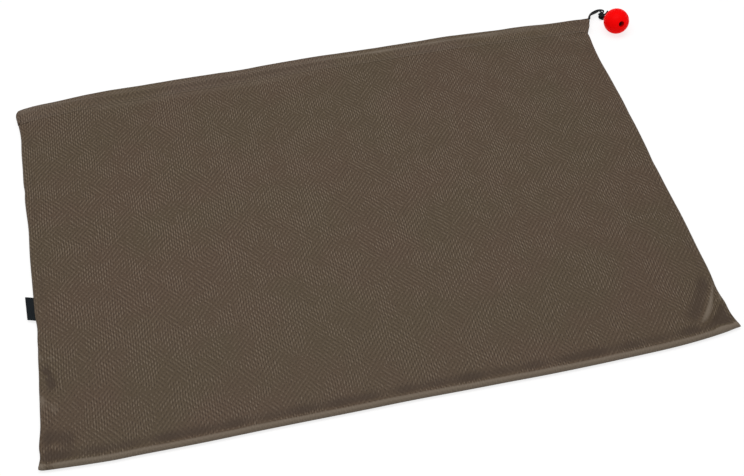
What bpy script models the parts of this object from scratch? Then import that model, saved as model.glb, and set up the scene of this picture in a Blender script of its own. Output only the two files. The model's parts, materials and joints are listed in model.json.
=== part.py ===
"""Drawcord fish sack lying flat: two cloth sides, three rolled seams, a cord tunnel on each side
of the mouth, a cord that runs round both tunnels, and a drilled ball float tied to its ends.

Metres, +Z up. The origin is under the middle of the sack, on the surface it lies on. +X runs along
the mouth towards the end where the cord leaves, and +Y runs from the closed bottom to the mouth.
"""
import math

import bmesh
import bpy
from mathutils import Vector

# The sack's outline, seen from above
SACK_WIDTH = 1.000
SACK_DEPTH = 0.680
MOUTH_INSET = 0.0020
MOUTH_BOW = 0.014
MOUTH_SKEW = 0.007
MOUTH_POWER = 4
BOTTOM_INSET = 0.0026
BOTTOM_BOW = 0.0091
BOTTOM_SKEW = 0.0074
BOTTOM_POWER = 6
LEFT_DRAW_IN = 0.0085
LEFT_LEAN = 0.0020
LEFT_SKEW = 0.0074
RIGHT_DRAW_IN = 0.0004
RIGHT_LEAN = 0.0148
RIGHT_SKEW = 0.0101
SIDE_POWER = 4

# Cloth, and the gap that sewn or touching pieces keep to each other
CLOTH = 0.0005
GAP = 0.0003

# Seams rolled outwards, with their raw edges turned into the pocket
SEAM_WIDTH = 0.009
SEAM_END_GAP = 0.0006
ALLOWANCE_WIDTH = 0.010
ALLOWANCE_PLIES = 2
THREAD_DIAMETER = 0.001

# Cord tunnels along the mouth
TUNNEL_DEPTH = 0.028
TUNNEL_END_INSET = 0.0005
CORD_CLEARANCE = 0.00065
MOUTH_OPENING = 0.0043
CORNER_LENGTH = 0.007
CORNER_RADIUS = 0.005
TACK_LENGTH = 0.008
TACK_WIDTH = 0.002
TACK_END_INSET = 0.006
TACK_SIDE_INSET = 0.0025

# Drawcord: how far each run lies in from the mouth's corner
CORD_DIAMETER = 0.003
FRONT_RUN_INSET = 0.0046
BACK_RUN_INSET = 0.0040

# Float and knots
FLOAT_DIAMETER = 0.044
FLOAT_BORE = 0.0042
FLOAT_SEAT_DIAMETER = 0.010
FLOAT_SEAT_DEPTH = 0.013
FLOAT_OUT = 0.0414
FLOAT_DOWN = 0.0298
BORE_DIRECTION = Vector((0.031, -0.890, 0.454)).normalized()
KNOT_OUT = 0.0291
KNOT_UP = 0.0040
KNOT_OFF_FLOOR = 0.0006
KNOT_SIZE = (0.010, 0.0124, 0.0104)
KNOT_ROUNDING = 0.004
STOPPER_DIAMETER = 0.0082
STOPPER_LENGTH = 0.006
STOPPER_ROUNDING = 0.0025

# Folded label in the left seam
LABEL_LENGTH = 0.0405
LABEL_WIDTH = 0.0099
LABEL_THICKNESS = 0.0009
LABEL_CENTRE_Y = -0.0715
LABEL_SLANT = 0.0045
LABEL_EDGE_SHARE = 0.45

# Routes of the free cord, in metres from the end of its tunnel run
FRONT_TAIL_FROM_EXIT = ((0.0009, 0.0, 0.0), (0.0023, 0.0007, 0.0), (0.0032, 0.0023, 0.0001),
                        (0.0043, 0.0056, 0.0001), (0.0082, 0.0098, -0.0002), (0.0148, 0.0127, -0.0012),
                        (0.0220, 0.0162, -0.0023))
BACK_TAIL_FROM_EXIT = ((0.0015, 0.0, 0.0), (0.0028, 0.0008, 0.0005), (0.0033, 0.0026, 0.0024),
                       (0.0040, 0.0060, 0.0042), (0.0082, 0.0126, 0.0046), (0.0148, 0.0186, 0.0041),
                       (0.0240, 0.0229, 0.0034), (0.0320, 0.0238, 0.0028))
# and from the middle of the knot's face that they enter
FRONT_TAIL_TO_KNOT = ((-0.0016, 0.0046, 0.0032), (0.0009, 0.0039, 0.0026), (0.0019, 0.0019, 0.0021),
                      (0.0020, 0.0003, 0.0020))
BACK_TAIL_TO_KNOT = ((0.0083, 0.0070, -0.0006), (0.0074, 0.0038, -0.0013), (0.0044, 0.0020, -0.0018),
                     (0.0031, 0.0003, -0.0020))
# and of the trimmed end, from the middle of the knot
FREE_END = ((0.0055, 0.0018, 0.0010), (0.0082, 0.0022, 0.0012), (0.0116, 0.0046, 0.0018),
            (0.0146, 0.0076, 0.0022))
# and of the neck from the knot round to the float, from the middle of the knot
NECK_FROM_KNOT = ((0.0053, -0.0028, 0.0008), (0.0070, -0.0029, 0.0009), (0.0103, -0.0054, 0.0021))
# with places on the float's axis, in metres below the ball's lower end
NECK_ON_AXIS = (0.0050, 0.0025)

# Mesh steps
EDGE_STEPS = 40
SQUARE_SHARE = 0.05
ARC_STEPS = 8
ROUND_STEPS = 40
STOPPER_STEPS = 20
FLOAT_ARC_STEPS = 22
CORD_RESOLUTION = 2
TAIL_POINTS = 30
FLOAT_CORD_POINTS = 20

# Values worked out from those above
HALF_WIDTH = SACK_WIDTH / 2
HALF_DEPTH = SACK_DEPTH / 2
MOUTH_MIDDLE_Y = HALF_DEPTH - MOUTH_INSET
BOTTOM_MIDDLE_Y = -HALF_DEPTH + BOTTOM_INSET
MOUTH_CORNER_Y = MOUTH_MIDDLE_Y - MOUTH_BOW
BOTTOM_CORNER_Y = BOTTOM_MIDDLE_Y + BOTTOM_BOW
TUNNEL_HEIGHT = CORD_DIAMETER + 2 * CORD_CLEARANCE + 2 * CLOTH
FRONT_Z = TUNNEL_HEIGHT + MOUTH_OPENING
BODY_HEIGHT = FRONT_Z + CLOTH
STACK_HEIGHT = FRONT_Z + TUNNEL_HEIGHT
CORNER_X = -HALF_WIDTH + LEFT_LEAN
TUNNEL_LEFT_X = CORNER_X + CORNER_LENGTH + GAP
TUNNEL_RIGHT_X = HALF_WIDTH - TUNNEL_END_INSET
ALLOWANCE_HEIGHT = ALLOWANCE_PLIES * CLOTH
THREAD_RADIUS = THREAD_DIAMETER / 2
CORD_RADIUS = CORD_DIAMETER / 2
FLOAT_RADIUS = FLOAT_DIAMETER / 2
FRONT_RUN = Vector((TUNNEL_RIGHT_X, MOUTH_CORNER_Y - FRONT_RUN_INSET, FRONT_Z + TUNNEL_HEIGHT / 2))
BACK_RUN = Vector((TUNNEL_RIGHT_X, MOUTH_CORNER_Y - BACK_RUN_INSET, TUNNEL_HEIGHT / 2))
FLOAT_CENTRE = Vector((TUNNEL_RIGHT_X + FLOAT_OUT, MOUTH_CORNER_Y - FLOAT_DOWN, FLOAT_RADIUS))
KNOT_CENTRE = Vector((TUNNEL_RIGHT_X + KNOT_OUT, MOUTH_CORNER_Y + KNOT_UP,
                      KNOT_OFF_FLOOR + KNOT_SIZE[2] / 2))
KNOT_FACE = KNOT_CENTRE + Vector((0, KNOT_SIZE[1] / 2, 0))


def clear_scene():
    for item in list(bpy.data.objects):
        bpy.data.objects.remove(item, do_unlink=True)


def new_collection(name):
    collection = bpy.data.collections.new(name)
    bpy.context.scene.collection.children.link(collection)
    return collection


def finish_material(name, colour, roughness, metallic=0.0):
    material = bpy.data.materials.new(name)
    material.use_nodes = True
    shader = material.node_tree.nodes["Principled BSDF"]
    shader.inputs["Base Color"].default_value = (*colour, 1.0)
    shader.inputs["Roughness"].default_value = roughness
    shader.inputs["Metallic"].default_value = metallic
    return material


# Outline of the sack: each edge is a shallow arc, fuller on one side, and the sides also lean

def skewed(along):
    """Share of an edge's skew at a place from -1 to 1 along it: none in the middle and at the ends."""
    return along * (1 - along ** 2)


def mouth_y(x):
    along = x / HALF_WIDTH
    return MOUTH_MIDDLE_Y - MOUTH_BOW * abs(along) ** MOUTH_POWER - MOUTH_SKEW * skewed(along)


def bottom_y(x):
    along = x / HALF_WIDTH
    return BOTTOM_MIDDLE_Y + BOTTOM_BOW * abs(along) ** BOTTOM_POWER - BOTTOM_SKEW * skewed(along)


def side_x(y, draw_in, lean, skew):
    along = y / (MOUTH_CORNER_Y if y > 0 else -BOTTOM_CORNER_Y)
    drawn_in = draw_in * (1 - abs(along) ** SIDE_POWER)
    return HALF_WIDTH - drawn_in - lean * (1 + along) / 2 + skew * skewed(along)


def left_x(y):
    return -side_x(y, LEFT_DRAW_IN, LEFT_LEAN, LEFT_SKEW)


def right_x(y):
    return side_x(y, RIGHT_DRAW_IN, RIGHT_LEAN, RIGHT_SKEW)


def spread(low, high, steps):
    return [low + (high - low) * k / steps for k in range(steps + 1)]


def square_ends(path, axis):
    """Path whose first and last steps run along one axis, so that its ends are cut square to it."""
    path = [Vector(point) for point in path]
    first, last = path[1].copy(), path[-2].copy()
    first[1 - axis] = path[0][1 - axis]
    last[1 - axis] = path[-1][1 - axis]
    path.insert(1, path[0].lerp(first, SQUARE_SHARE))
    path.insert(-1, path[-1].lerp(last, SQUARE_SHARE))
    return path


def pocket_y(inset):
    """Low and high y of the space between the bottom seam and the tunnels, taken in by inset."""
    low = BOTTOM_CORNER_Y + SEAM_WIDTH + SEAM_END_GAP + inset
    high = MOUTH_CORNER_Y - TUNNEL_DEPTH - SEAM_END_GAP - inset
    return low, high


# Builders of one closed solid each

def add_object(name, data, material, collection):
    item = bpy.data.objects.new(name, data)
    item.data.materials.clear()
    item.data.materials.append(material)
    collection.objects.link(item)
    return item


def curve_data(name, points, closed=False, dimensions="3D"):
    curve = bpy.data.curves.new(name, "CURVE")
    curve.dimensions = dimensions
    spline = curve.splines.new("POLY")
    spline.points.add(len(points) - 1)
    for point, place in zip(spline.points, points):
        point.co = (*place, 1.0)
    spline.use_cyclic_u = closed
    return curve


def mesh_from_curve(curve_object):
    """Turn a curve object into a mesh object with welded caps, at the same place."""
    graph = bpy.context.evaluated_depsgraph_get()
    mesh = bpy.data.meshes.new_from_object(curve_object.evaluated_get(graph))
    shape = bmesh.new()
    shape.from_mesh(mesh)
    bmesh.ops.remove_doubles(shape, verts=shape.verts, dist=1e-6)
    bmesh.ops.recalc_face_normals(shape, faces=shape.faces)
    shape.to_mesh(mesh)
    shape.free()
    place = curve_object.matrix_world.copy()
    name = curve_object.name
    collection = curve_object.users_collection[0]
    bpy.data.objects.remove(curve_object, do_unlink=True)
    item = bpy.data.objects.new(name, mesh)
    item.matrix_world = place
    collection.objects.link(item)
    return item


def plate(name, outline, low_z, thickness, material, collection):
    """Flat cloth or strip of any outline, from low_z up."""
    curve = curve_data(name, [(x, y, 0.0) for x, y in outline], closed=True, dimensions="2D")
    curve.fill_mode = "BOTH"
    curve.extrude = thickness / 2
    item = add_object(name, curve, material, collection)
    item.location.z = low_z + thickness / 2
    bpy.context.view_layer.update()
    return mesh_from_curve(item)


def d_profile(width, height):
    """Cross-section with a flat inner side at +x and a half-round outer side at -x."""
    radius = height / 2
    centre = radius - width / 2
    points = [(width / 2, -radius, 0.0), (width / 2, radius, 0.0)]
    for angle in spread(math.pi / 2, 3 * math.pi / 2, ARC_STEPS):
        points.append((centre + radius * math.cos(angle), radius * math.sin(angle), 0.0))
    return points


def sweep(name, path, profile, middle_z, material, collection, guides, capped=True):
    """Profile swept along a path in the plane; its +x side faces the right of the path."""
    guide = bpy.data.objects.new(name + "_profile", curve_data(name + "_profile", profile, True, "2D"))
    guide.data.fill_mode = "NONE"
    guide.hide_render = True
    guide.display_type = "WIRE"
    guides.objects.link(guide)
    curve = curve_data(name, [(x, y, 0.0) for x, y in path], dimensions="2D")
    curve.fill_mode = "NONE"
    curve.bevel_mode = "OBJECT"
    curve.bevel_object = guide
    curve.use_fill_caps = capped
    item = add_object(name, curve, material, collection)
    item.location.z = middle_z
    bpy.context.view_layer.update()
    item = mesh_from_curve(item)
    bpy.data.objects.remove(guide, do_unlink=True)
    return item


def tube(name, points, diameter, material, collection):
    """Round cord or thread along a chosen route."""
    curve = curve_data(name, points)
    curve.bevel_depth = diameter / 2
    curve.bevel_resolution = CORD_RESOLUTION
    curve.use_fill_caps = True
    return add_object(name, curve, material, collection)


def smooth_route(points, count):
    """Points read evenly along a smooth curve through the route's own points."""
    ends = [2 * points[0] - points[1], *points, 2 * points[-1] - points[-2]]
    fine = []
    for p0, p1, p2, p3 in zip(ends, ends[1:], ends[2:], ends[3:]):
        for k in range(ARC_STEPS):
            t = k / ARC_STEPS
            fine.append(0.5 * (2 * p1 + (p2 - p0) * t + (2 * p0 - 5 * p1 + 4 * p2 - p3) * t ** 2
                               + (3 * p1 - p0 - 3 * p2 + p3) * t ** 3))
    fine.append(points[-1])
    lengths = [0.0]
    for a, b in zip(fine, fine[1:]):
        lengths.append(lengths[-1] + (b - a).length)
    route = []
    for target in spread(0.0, lengths[-1], count - 1):
        k = max(i for i, length in enumerate(lengths[:-1]) if length <= target)
        share = (target - lengths[k]) / (lengths[k + 1] - lengths[k])
        route.append(fine[k].lerp(fine[k + 1], share))
    return route


def block(name, size, centre, material, collection):
    bpy.ops.mesh.primitive_cube_add(size=1.0, location=centre)
    item = bpy.context.active_object
    for vertex in item.data.vertices:
        vertex.co = Vector(a * b for a, b in zip(vertex.co, size))
    return take(item, name, material, collection)


def take(item, name, material, collection):
    """Name a primitive and move it to the sack's collection."""
    item.name = name
    item.data.name = name
    item.data.materials.clear()
    item.data.materials.append(material)
    for owner in list(item.users_collection):
        owner.objects.unlink(item)
    collection.objects.link(item)
    return item


def add_bevel(item, width, segments):
    bevel = item.modifiers.new("round", "BEVEL")
    bevel.width = width
    bevel.segments = segments
    bevel.limit_method = "ANGLE"
    return bevel


def shade(item, angle=40):
    item.data.shade_smooth()
    item.data.set_sharp_from_angle(angle=math.radians(angle))


# Cloth sides and seams

def make_panels(cloth, collection):
    inset = SEAM_WIDTH + GAP
    low, high = pocket_y(0.0)
    low_xs = spread(left_x(low) + inset, right_x(low) - inset, EDGE_STEPS)
    high_xs = spread(right_x(high) - inset, left_x(high) + inset, EDGE_STEPS)
    outline = [(x, bottom_y(x) + inset) for x in low_xs]
    outline += [(right_x(y) - inset, y) for y in spread(low, high, EDGE_STEPS)[1:-1]]
    outline += [(x, mouth_y(x) - TUNNEL_DEPTH - SEAM_END_GAP) for x in high_xs]
    outline += [(left_x(y) + inset, y) for y in spread(high, low, EDGE_STEPS)[1:-1]]
    plate("back_panel", outline, 0.0, CLOTH, cloth, collection)
    plate("front_panel", outline, FRONT_Z, CLOTH, cloth, collection)


def make_seams(cloth, collection, guides):
    profile = d_profile(SEAM_WIDTH, BODY_HEIGHT)
    middle = SEAM_WIDTH / 2
    ys = spread(*pocket_y(0.0), EDGE_STEPS)
    xs = spread(-HALF_WIDTH, HALF_WIDTH, EDGE_STEPS)
    paths = {
        "left_side_seam": [(left_x(y) + middle, y) for y in ys],
        "right_side_seam": [(right_x(y) - middle, y) for y in reversed(ys)],
        "bottom_seam": [(x, bottom_y(x) + middle) for x in reversed(xs)],
    }
    for name, path in paths.items():
        path = square_ends(path, 0 if name == "bottom_seam" else 1)
        shade(sweep(name, path, profile, BODY_HEIGHT / 2, cloth, collection, guides))


def strip(inner, outer):
    """Closed outline between two lists of points that run the same way."""
    return inner + outer[::-1]


def make_allowances(cloth, thread, collection):
    """Raw edges of the three seams, turned into the pocket, each with its edging thread."""
    start = SEAM_WIDTH + GAP
    end = start + ALLOWANCE_WIDTH
    edging = end + GAP + THREAD_RADIUS
    low_z = CLOTH + GAP
    middle_z = low_z + ALLOWANCE_HEIGHT / 2
    taken = 2 * GAP + THREAD_DIAMETER
    low, high = pocket_y(taken)
    low += ALLOWANCE_WIDTH
    ys = spread(low, high, EDGE_STEPS)
    sides = {"left": (left_x, 1), "right": (right_x, -1)}
    for side, (edge_x, inward) in sides.items():
        rows = [[(edge_x(y) + inward * offset, y) for y in ys] for offset in (start, end)]
        plate(side + "_seam_allowance", strip(*rows), low_z, ALLOWANCE_HEIGHT, cloth, collection)
        edge = [(edge_x(y) + inward * edging, y, middle_z) for y in ys]
        tube(side + "_edging_thread", edge, THREAD_DIAMETER, thread, collection)
    ends = [edge_x(BOTTOM_CORNER_Y + end) + inward * start for edge_x, inward in sides.values()]
    xs = spread(*ends, EDGE_STEPS)
    rows = [[(x, bottom_y(x) + offset) for x in xs] for offset in (start, end)]
    plate("bottom_seam_allowance", strip(*rows), low_z, ALLOWANCE_HEIGHT, cloth, collection)
    edge = [(x, bottom_y(x) + edging, middle_z) for x in xs]
    tube("bottom_edging_thread", edge, THREAD_DIAMETER, thread, collection)


# Cord tunnels along the mouth

def make_tunnels(cloth, thread, collection, guides):
    profile = d_profile(TUNNEL_DEPTH, TUNNEL_HEIGHT)
    xs = spread(TUNNEL_LEFT_X, TUNNEL_RIGHT_X, EDGE_STEPS)
    path = square_ends([(x, mouth_y(x) - TUNNEL_DEPTH / 2) for x in xs], 0)
    for side, low_z in (("back", 0.0), ("front", FRONT_Z)):
        name = side + "_cord_tunnel"
        middle_z = low_z + TUNNEL_HEIGHT / 2
        tunnel = sweep(name, path, profile, middle_z, cloth, collection, guides, capped=False)
        wall = tunnel.modifiers.new("cloth", "SOLIDIFY")
        wall.thickness = CLOTH
        wall.offset = -1.0
        wall.use_even_offset = True
        shade(tunnel)
    stitch = TUNNEL_DEPTH + SEAM_END_GAP + THREAD_RADIUS
    high = pocket_y(0.0)[1]
    inset = SEAM_WIDTH + GAP + THREAD_DIAMETER
    xs = spread(left_x(high) + inset, right_x(high) - inset, EDGE_STEPS)
    for side, low_z in (("back", CLOTH), ("front", BODY_HEIGHT)):
        route = [(x, mouth_y(x) - stitch, low_z + GAP + THREAD_RADIUS) for x in xs]
        tube(side + "_tunnel_thread", route, THREAD_DIAMETER, thread, collection)


def make_tunnel_corner(cloth, collection):
    """Rounded cloth end that leads the cord from the front tunnel to the back one."""
    middle_x = CORNER_X + CORNER_LENGTH / 2
    centre = (middle_x, mouth_y(middle_x) - TUNNEL_DEPTH / 2, STACK_HEIGHT / 2)
    size = (CORNER_LENGTH, TUNNEL_DEPTH, STACK_HEIGHT)
    corner = block("left_tunnel_corner", size, centre, cloth, collection)
    shape = bmesh.new()
    shape.from_mesh(corner.data)
    bmesh.ops.delete(shape, geom=[f for f in shape.faces if f.normal.x > 0.5], context="FACES_ONLY")
    upright = [e for e in shape.edges if all(v.co.x < 0 for v in e.verts)
               and abs(e.verts[0].co.z - e.verts[1].co.z) > CLOTH]
    bmesh.ops.bevel(shape, geom=upright, offset=CORNER_RADIUS, segments=5, profile=0.5, affect="EDGES")
    shape.to_mesh(corner.data)
    shape.free()
    wall = corner.modifiers.new("cloth", "SOLIDIFY")
    wall.thickness = CLOTH
    wall.offset = -1.0
    wall.use_even_offset = True


def make_bar_tack(thread, collection):
    """Dense stitches that join the two tunnels below the cord, where it leaves them."""
    x = TUNNEL_RIGHT_X - TACK_END_INSET
    centre = (x, mouth_y(x) - TUNNEL_DEPTH + TACK_SIDE_INSET, TUNNEL_HEIGHT + MOUTH_OPENING / 2)
    block("exit_bar_tack", (TACK_LENGTH, TACK_WIDTH, MOUTH_OPENING - 2 * GAP), centre, thread, collection)


# Label

def make_label(cloth, collection):
    """Folded label sewn into the left seam; its origin is on the line that it flaps about."""
    seam_x = min(left_x(LABEL_CENTRE_Y + side * LABEL_LENGTH / 2) for side in (-1, 1))
    axis = Vector((seam_x - GAP - LABEL_THICKNESS / 2, LABEL_CENTRE_Y, BODY_HEIGHT / 2))
    label = block("side_label", (LABEL_WIDTH, LABEL_LENGTH, LABEL_THICKNESS), axis, cloth, collection)
    for vertex in label.data.vertices:
        vertex.co.x -= LABEL_WIDTH / 2
        vertex.co.y -= LABEL_SLANT * vertex.co.x / LABEL_WIDTH
    add_bevel(label, LABEL_THICKNESS * LABEL_EDGE_SHARE, 2)
    return label


# Drawcord, knots and float

def make_drawcord(cord, collection):
    middle = (FRONT_RUN + BACK_RUN) / 2
    radius = (FRONT_RUN - BACK_RUN).length / 2
    sideways = (FRONT_RUN - BACK_RUN).normalized()
    turn_x = CORNER_X + CLOTH + GAP + CORD_RADIUS + radius
    middle.x = turn_x
    xs = spread(TUNNEL_RIGHT_X, turn_x, EDGE_STEPS)[:-1]
    route = [Vector((x, FRONT_RUN.y, FRONT_RUN.z)) for x in xs]
    for angle in spread(0.0, math.pi, 2 * ARC_STEPS):
        outwards = Vector((-math.sin(angle), 0, 0))
        route.append(middle + radius * (math.cos(angle) * sideways + outwards))
    route += [Vector((x, BACK_RUN.y, BACK_RUN.z)) for x in reversed(xs)]
    tube("drawcord_loop", route, CORD_DIAMETER, cord, collection)


def make_tails(cord, collection):
    tails = (
        ("front_cord_tail", FRONT_RUN, FRONT_TAIL_FROM_EXIT, FRONT_TAIL_TO_KNOT),
        ("back_cord_tail", BACK_RUN, BACK_TAIL_FROM_EXIT, BACK_TAIL_TO_KNOT),
    )
    for name, run, from_exit, to_knot in tails:
        start = run + Vector((GAP, 0, 0))
        route = [start] + [start + Vector(step) for step in from_exit]
        route += [KNOT_FACE + Vector(step) for step in to_knot]
        tube(name, smooth_route(route, TAIL_POINTS), CORD_DIAMETER, cord, collection)
    route = [KNOT_CENTRE + Vector(step) for step in FREE_END]
    tube("knot_free_end", smooth_route(route, ARC_STEPS), CORD_DIAMETER, cord, collection)


def make_knots(cord, collection):
    knot = block("drawcord_knot", KNOT_SIZE, KNOT_CENTRE, cord, collection)
    add_bevel(knot, KNOT_ROUNDING, 4)
    cord_end = FLOAT_CENTRE + BORE_DIRECTION * (FLOAT_RADIUS - FLOAT_SEAT_DEPTH)
    route = [KNOT_CENTRE + Vector(step) for step in NECK_FROM_KNOT]
    route += [FLOAT_CENTRE - BORE_DIRECTION * (FLOAT_RADIUS + below) for below in NECK_ON_AXIS]
    route += [FLOAT_CENTRE - BORE_DIRECTION * FLOAT_RADIUS, FLOAT_CENTRE, cord_end]
    tube("float_cord", smooth_route(route, FLOAT_CORD_POINTS), CORD_DIAMETER, cord, collection)
    centre = cord_end + BORE_DIRECTION * (GAP + STOPPER_LENGTH / 2)
    bpy.ops.mesh.primitive_cylinder_add(vertices=STOPPER_STEPS, radius=STOPPER_DIAMETER / 2,
                                        depth=STOPPER_LENGTH, location=centre)
    stopper = take(bpy.context.active_object, "stopper_knot", cord, collection)
    stopper.rotation_euler = BORE_DIRECTION.to_track_quat("Z", "Y").to_euler()
    add_bevel(stopper, STOPPER_ROUNDING, 3)


def make_float(plastic, collection):
    """Ball turned about its bore, with a wider seat for the stopper knot at the upper end."""
    bore = FLOAT_BORE / 2
    seat = FLOAT_SEAT_DIAMETER / 2
    shoulder = FLOAT_RADIUS - FLOAT_SEAT_DEPTH
    top = math.acos(seat / FLOAT_RADIUS)
    bottom = -math.acos(bore / FLOAT_RADIUS)
    profile = [(FLOAT_RADIUS * math.cos(a), 0.0, FLOAT_RADIUS * math.sin(a))
               for a in spread(top, bottom, FLOAT_ARC_STEPS)]
    profile += [(bore, 0.0, shoulder), (seat, 0.0, shoulder)]
    mesh = bpy.data.meshes.new("float_ball")
    edges = [(k, (k + 1) % len(profile)) for k in range(len(profile))]
    mesh.from_pydata(profile, edges, [])
    ball = add_object("float_ball", mesh, plastic, collection)
    screw = ball.modifiers.new("turn", "SCREW")
    screw.axis = "Z"
    screw.steps = ROUND_STEPS
    screw.render_steps = ROUND_STEPS
    screw.use_merge_vertices = True
    screw.merge_threshold = 1e-5
    screw.use_smooth_shade = True
    ball.location = FLOAT_CENTRE
    ball.rotation_euler = BORE_DIRECTION.to_track_quat("Z", "Y").to_euler()


def main():
    clear_scene()
    sack = new_collection("carp_sack")
    guides = new_collection("cutters")
    cloth = finish_material("sack_mesh_cloth", (0.104, 0.078, 0.055), 0.9)
    hem = finish_material("tunnel_cloth", (0.120, 0.092, 0.066), 0.9)
    thread = finish_material("sewing_thread", (0.050, 0.040, 0.030), 0.8)
    label = finish_material("label_tape", (0.030, 0.035, 0.040), 0.7)
    cord = finish_material("black_cord", (0.012, 0.012, 0.013), 0.75)
    plastic = finish_material("red_float", (0.880, 0.004, 0.004), 0.3)
    make_panels(cloth, sack)
    make_seams(cloth, sack, guides)
    make_allowances(cloth, thread, sack)
    make_tunnels(hem, thread, sack, guides)
    make_tunnel_corner(hem, sack)
    make_bar_tack(thread, sack)
    make_label(label, sack)
    make_drawcord(cord, sack)
    make_tails(cord, sack)
    make_knots(cord, sack)
    make_float(plastic, sack)


main()
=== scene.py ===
"""Looks of a drawcord fish sack that lies flat: knitted mesh cloth with rolled seams, a corded hem on
each side of the mouth, a folded side label, a braided drawcord with its knots, and a ball float.

Metres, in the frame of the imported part: +X along the mouth towards the cord's exit, +Y from the closed
bottom to the mouth, +Z up from the surface that the sack lies on.
"""

import json
import math

import bmesh
import bpy
import numpy as np
from bpy.props import FloatProperty, FloatVectorProperty, IntProperty, PointerProperty
from bpy.types import Operator, Panel, PropertyGroup
from mathutils import Matrix, Vector

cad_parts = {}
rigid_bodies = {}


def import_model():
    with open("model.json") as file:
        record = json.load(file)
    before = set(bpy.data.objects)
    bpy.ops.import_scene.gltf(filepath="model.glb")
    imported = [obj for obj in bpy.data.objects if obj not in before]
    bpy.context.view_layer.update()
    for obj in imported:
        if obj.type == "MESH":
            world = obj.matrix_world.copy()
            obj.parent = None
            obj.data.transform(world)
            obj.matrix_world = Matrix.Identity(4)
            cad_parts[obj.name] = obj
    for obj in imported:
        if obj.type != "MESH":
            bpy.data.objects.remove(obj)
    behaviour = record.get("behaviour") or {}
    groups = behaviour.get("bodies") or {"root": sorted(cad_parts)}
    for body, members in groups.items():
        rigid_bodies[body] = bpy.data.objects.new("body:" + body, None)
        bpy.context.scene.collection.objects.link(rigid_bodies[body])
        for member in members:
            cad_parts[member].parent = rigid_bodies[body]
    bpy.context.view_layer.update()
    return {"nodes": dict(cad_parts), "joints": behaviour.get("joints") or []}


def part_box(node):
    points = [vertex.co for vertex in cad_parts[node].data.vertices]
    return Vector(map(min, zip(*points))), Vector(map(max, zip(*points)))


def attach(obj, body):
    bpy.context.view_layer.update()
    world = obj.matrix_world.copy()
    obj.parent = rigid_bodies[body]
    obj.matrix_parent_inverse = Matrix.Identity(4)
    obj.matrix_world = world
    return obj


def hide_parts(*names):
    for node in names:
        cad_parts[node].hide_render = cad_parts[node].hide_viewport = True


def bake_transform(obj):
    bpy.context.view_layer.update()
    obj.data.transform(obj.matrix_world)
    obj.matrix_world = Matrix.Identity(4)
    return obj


bl_info = {
    "name": "Drawcord fish sack",
    "version": (1, 0, 0),
    "blender": (4, 5, 0),
    "location": "3D View > Sidebar > Fish sack",
    "description": "Builds the cloth, cord and float of a flat fish sack round its packed frame",
    "category": "Object",
}

for leftover in list(bpy.data.objects):
    bpy.data.objects.remove(leftover, do_unlink=True)
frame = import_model()

MM = 0.001
TURN = 2 * math.pi

# The photograph's camera, the soft light above and the floor
CAMERA_PLACE = (-0.22004, -1.01007, 1.35808)
CAMERA_RIGHT = (0.9732, -0.2297, 0.0085)
CAMERA_UP = (0.1810, 0.7887, 0.5875)
CAMERA_BACK = (-0.1417, -0.5702, 0.8092)
SENSOR_WIDTH = 36.0
LAMP_SIZE = (2.0, 0.9)
LAMP_PLACE = (-0.1, 0.15, 2.0)
LAMP_TILT = math.radians(-5)
FLOOR_SIZE = 14.0
FLOOR_DROP = 0.6 * MM

# Cloth body: distances in from the sack's edge, or for the hem band from the cloth's end under the hem
ROLL_RADIUS = 5 * MM
LOW_ROLL_RADIUS = 4 * MM
SEAM_WIDTH = 9 * MM
PLATEAU_DROP = 0.35 * MM
CREST_AT, CREST_HALF, CREST_RISE = 5 * MM, 4.2 * MM, 0.25 * MM
VALLEY_AT, VALLEY_HALF, VALLEY_DEPTH = 16 * MM, 9 * MM, 1.9 * MM
SIDE_CREST_AT, SIDE_CREST_HALF = 4 * MM, 3 * MM
SIDE_VALLEY_AT, SIDE_VALLEY_HALF, SIDE_VALLEY_DEPTH = 13 * MM, 6 * MM, 0.55 * MM
HEM_BAND_AT, HEM_BAND_DEPTH = 8 * MM, 0.15 * MM
SAG_REACH = 90 * MM
EDGE_STATIONS = [d * MM for d in (0, 0.25, 0.7, 1.3, 2.1, 3.1, 4.3, 5.6, 7.2, 9.0,
                                  11, 13, 15, 17.5, 20, 23, 26.5, 30, 34)]
SEAM_STATION = EDGE_STATIONS.index(SEAM_WIDTH)
HEM_STATIONS = [d * MM for d in (0, 2, 4.5, 8, 12, 17)]
PANEL_TOP_INSET = 28.3 * MM

# Where each edge of the sewn outline wanders: place along the edge, shift towards +X or +Y, half length
LEFT_WANDER = ((0.312, 0.0014, 0.014), (0.265, 0.0029, 0.032), (0.205, 0.0010, 0.030),
               (0.150, 0.0011, 0.011), (0.075, 0.0018, 0.036), (-0.108, 0.0018, 0.018),
               (-0.140, 0.0007, 0.012), (-0.206, -0.0004, 0.012), (-0.265, 0.0011, 0.020),
               (-0.311, 0.0030, 0.012), (-0.329, 0.0034, 0.0035))
RIGHT_WANDER = ((0.290, 0.0026, 0.022), (0.222, -0.0028, 0.040), (0.160, -0.0014, 0.040),
                (0.095, -0.0008, 0.020), (-0.010, -0.0009, 0.018), (-0.130, 0.0020, 0.055),
                (-0.266, -0.0042, 0.026), (-0.288, 0.0008, 0.009), (-0.302, -0.0035, 0.018),
                (-0.316, -0.0008, 0.010))
BOTTOM_WANDER = ((-0.480, 0.0013, 0.040), (-0.501, 0.0020, 0.006), (-0.400, -0.0005, 0.020),
                 (-0.280, -0.0007, 0.060), (0.010, 0.0008, 0.060), (0.200, -0.0007, 0.050),
                 (0.270, -0.0008, 0.060), (0.410, -0.0020, 0.090))
MOUTH_WANDER = ((-0.4990, -0.0045, 0.009), (-0.425, -0.0010, 0.030), (-0.290, -0.0012, 0.040),
                (-0.180, -0.0036, 0.130), (-0.120, -0.0014, 0.035), (0.005, 0.0008, 0.030),
                (0.100, -0.0006, 0.040), (0.240, 0.0014, 0.030), (0.335, -0.0014, 0.026),
                (0.430, -0.0022, 0.045), (0.493, -0.0018, 0.010))

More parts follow.
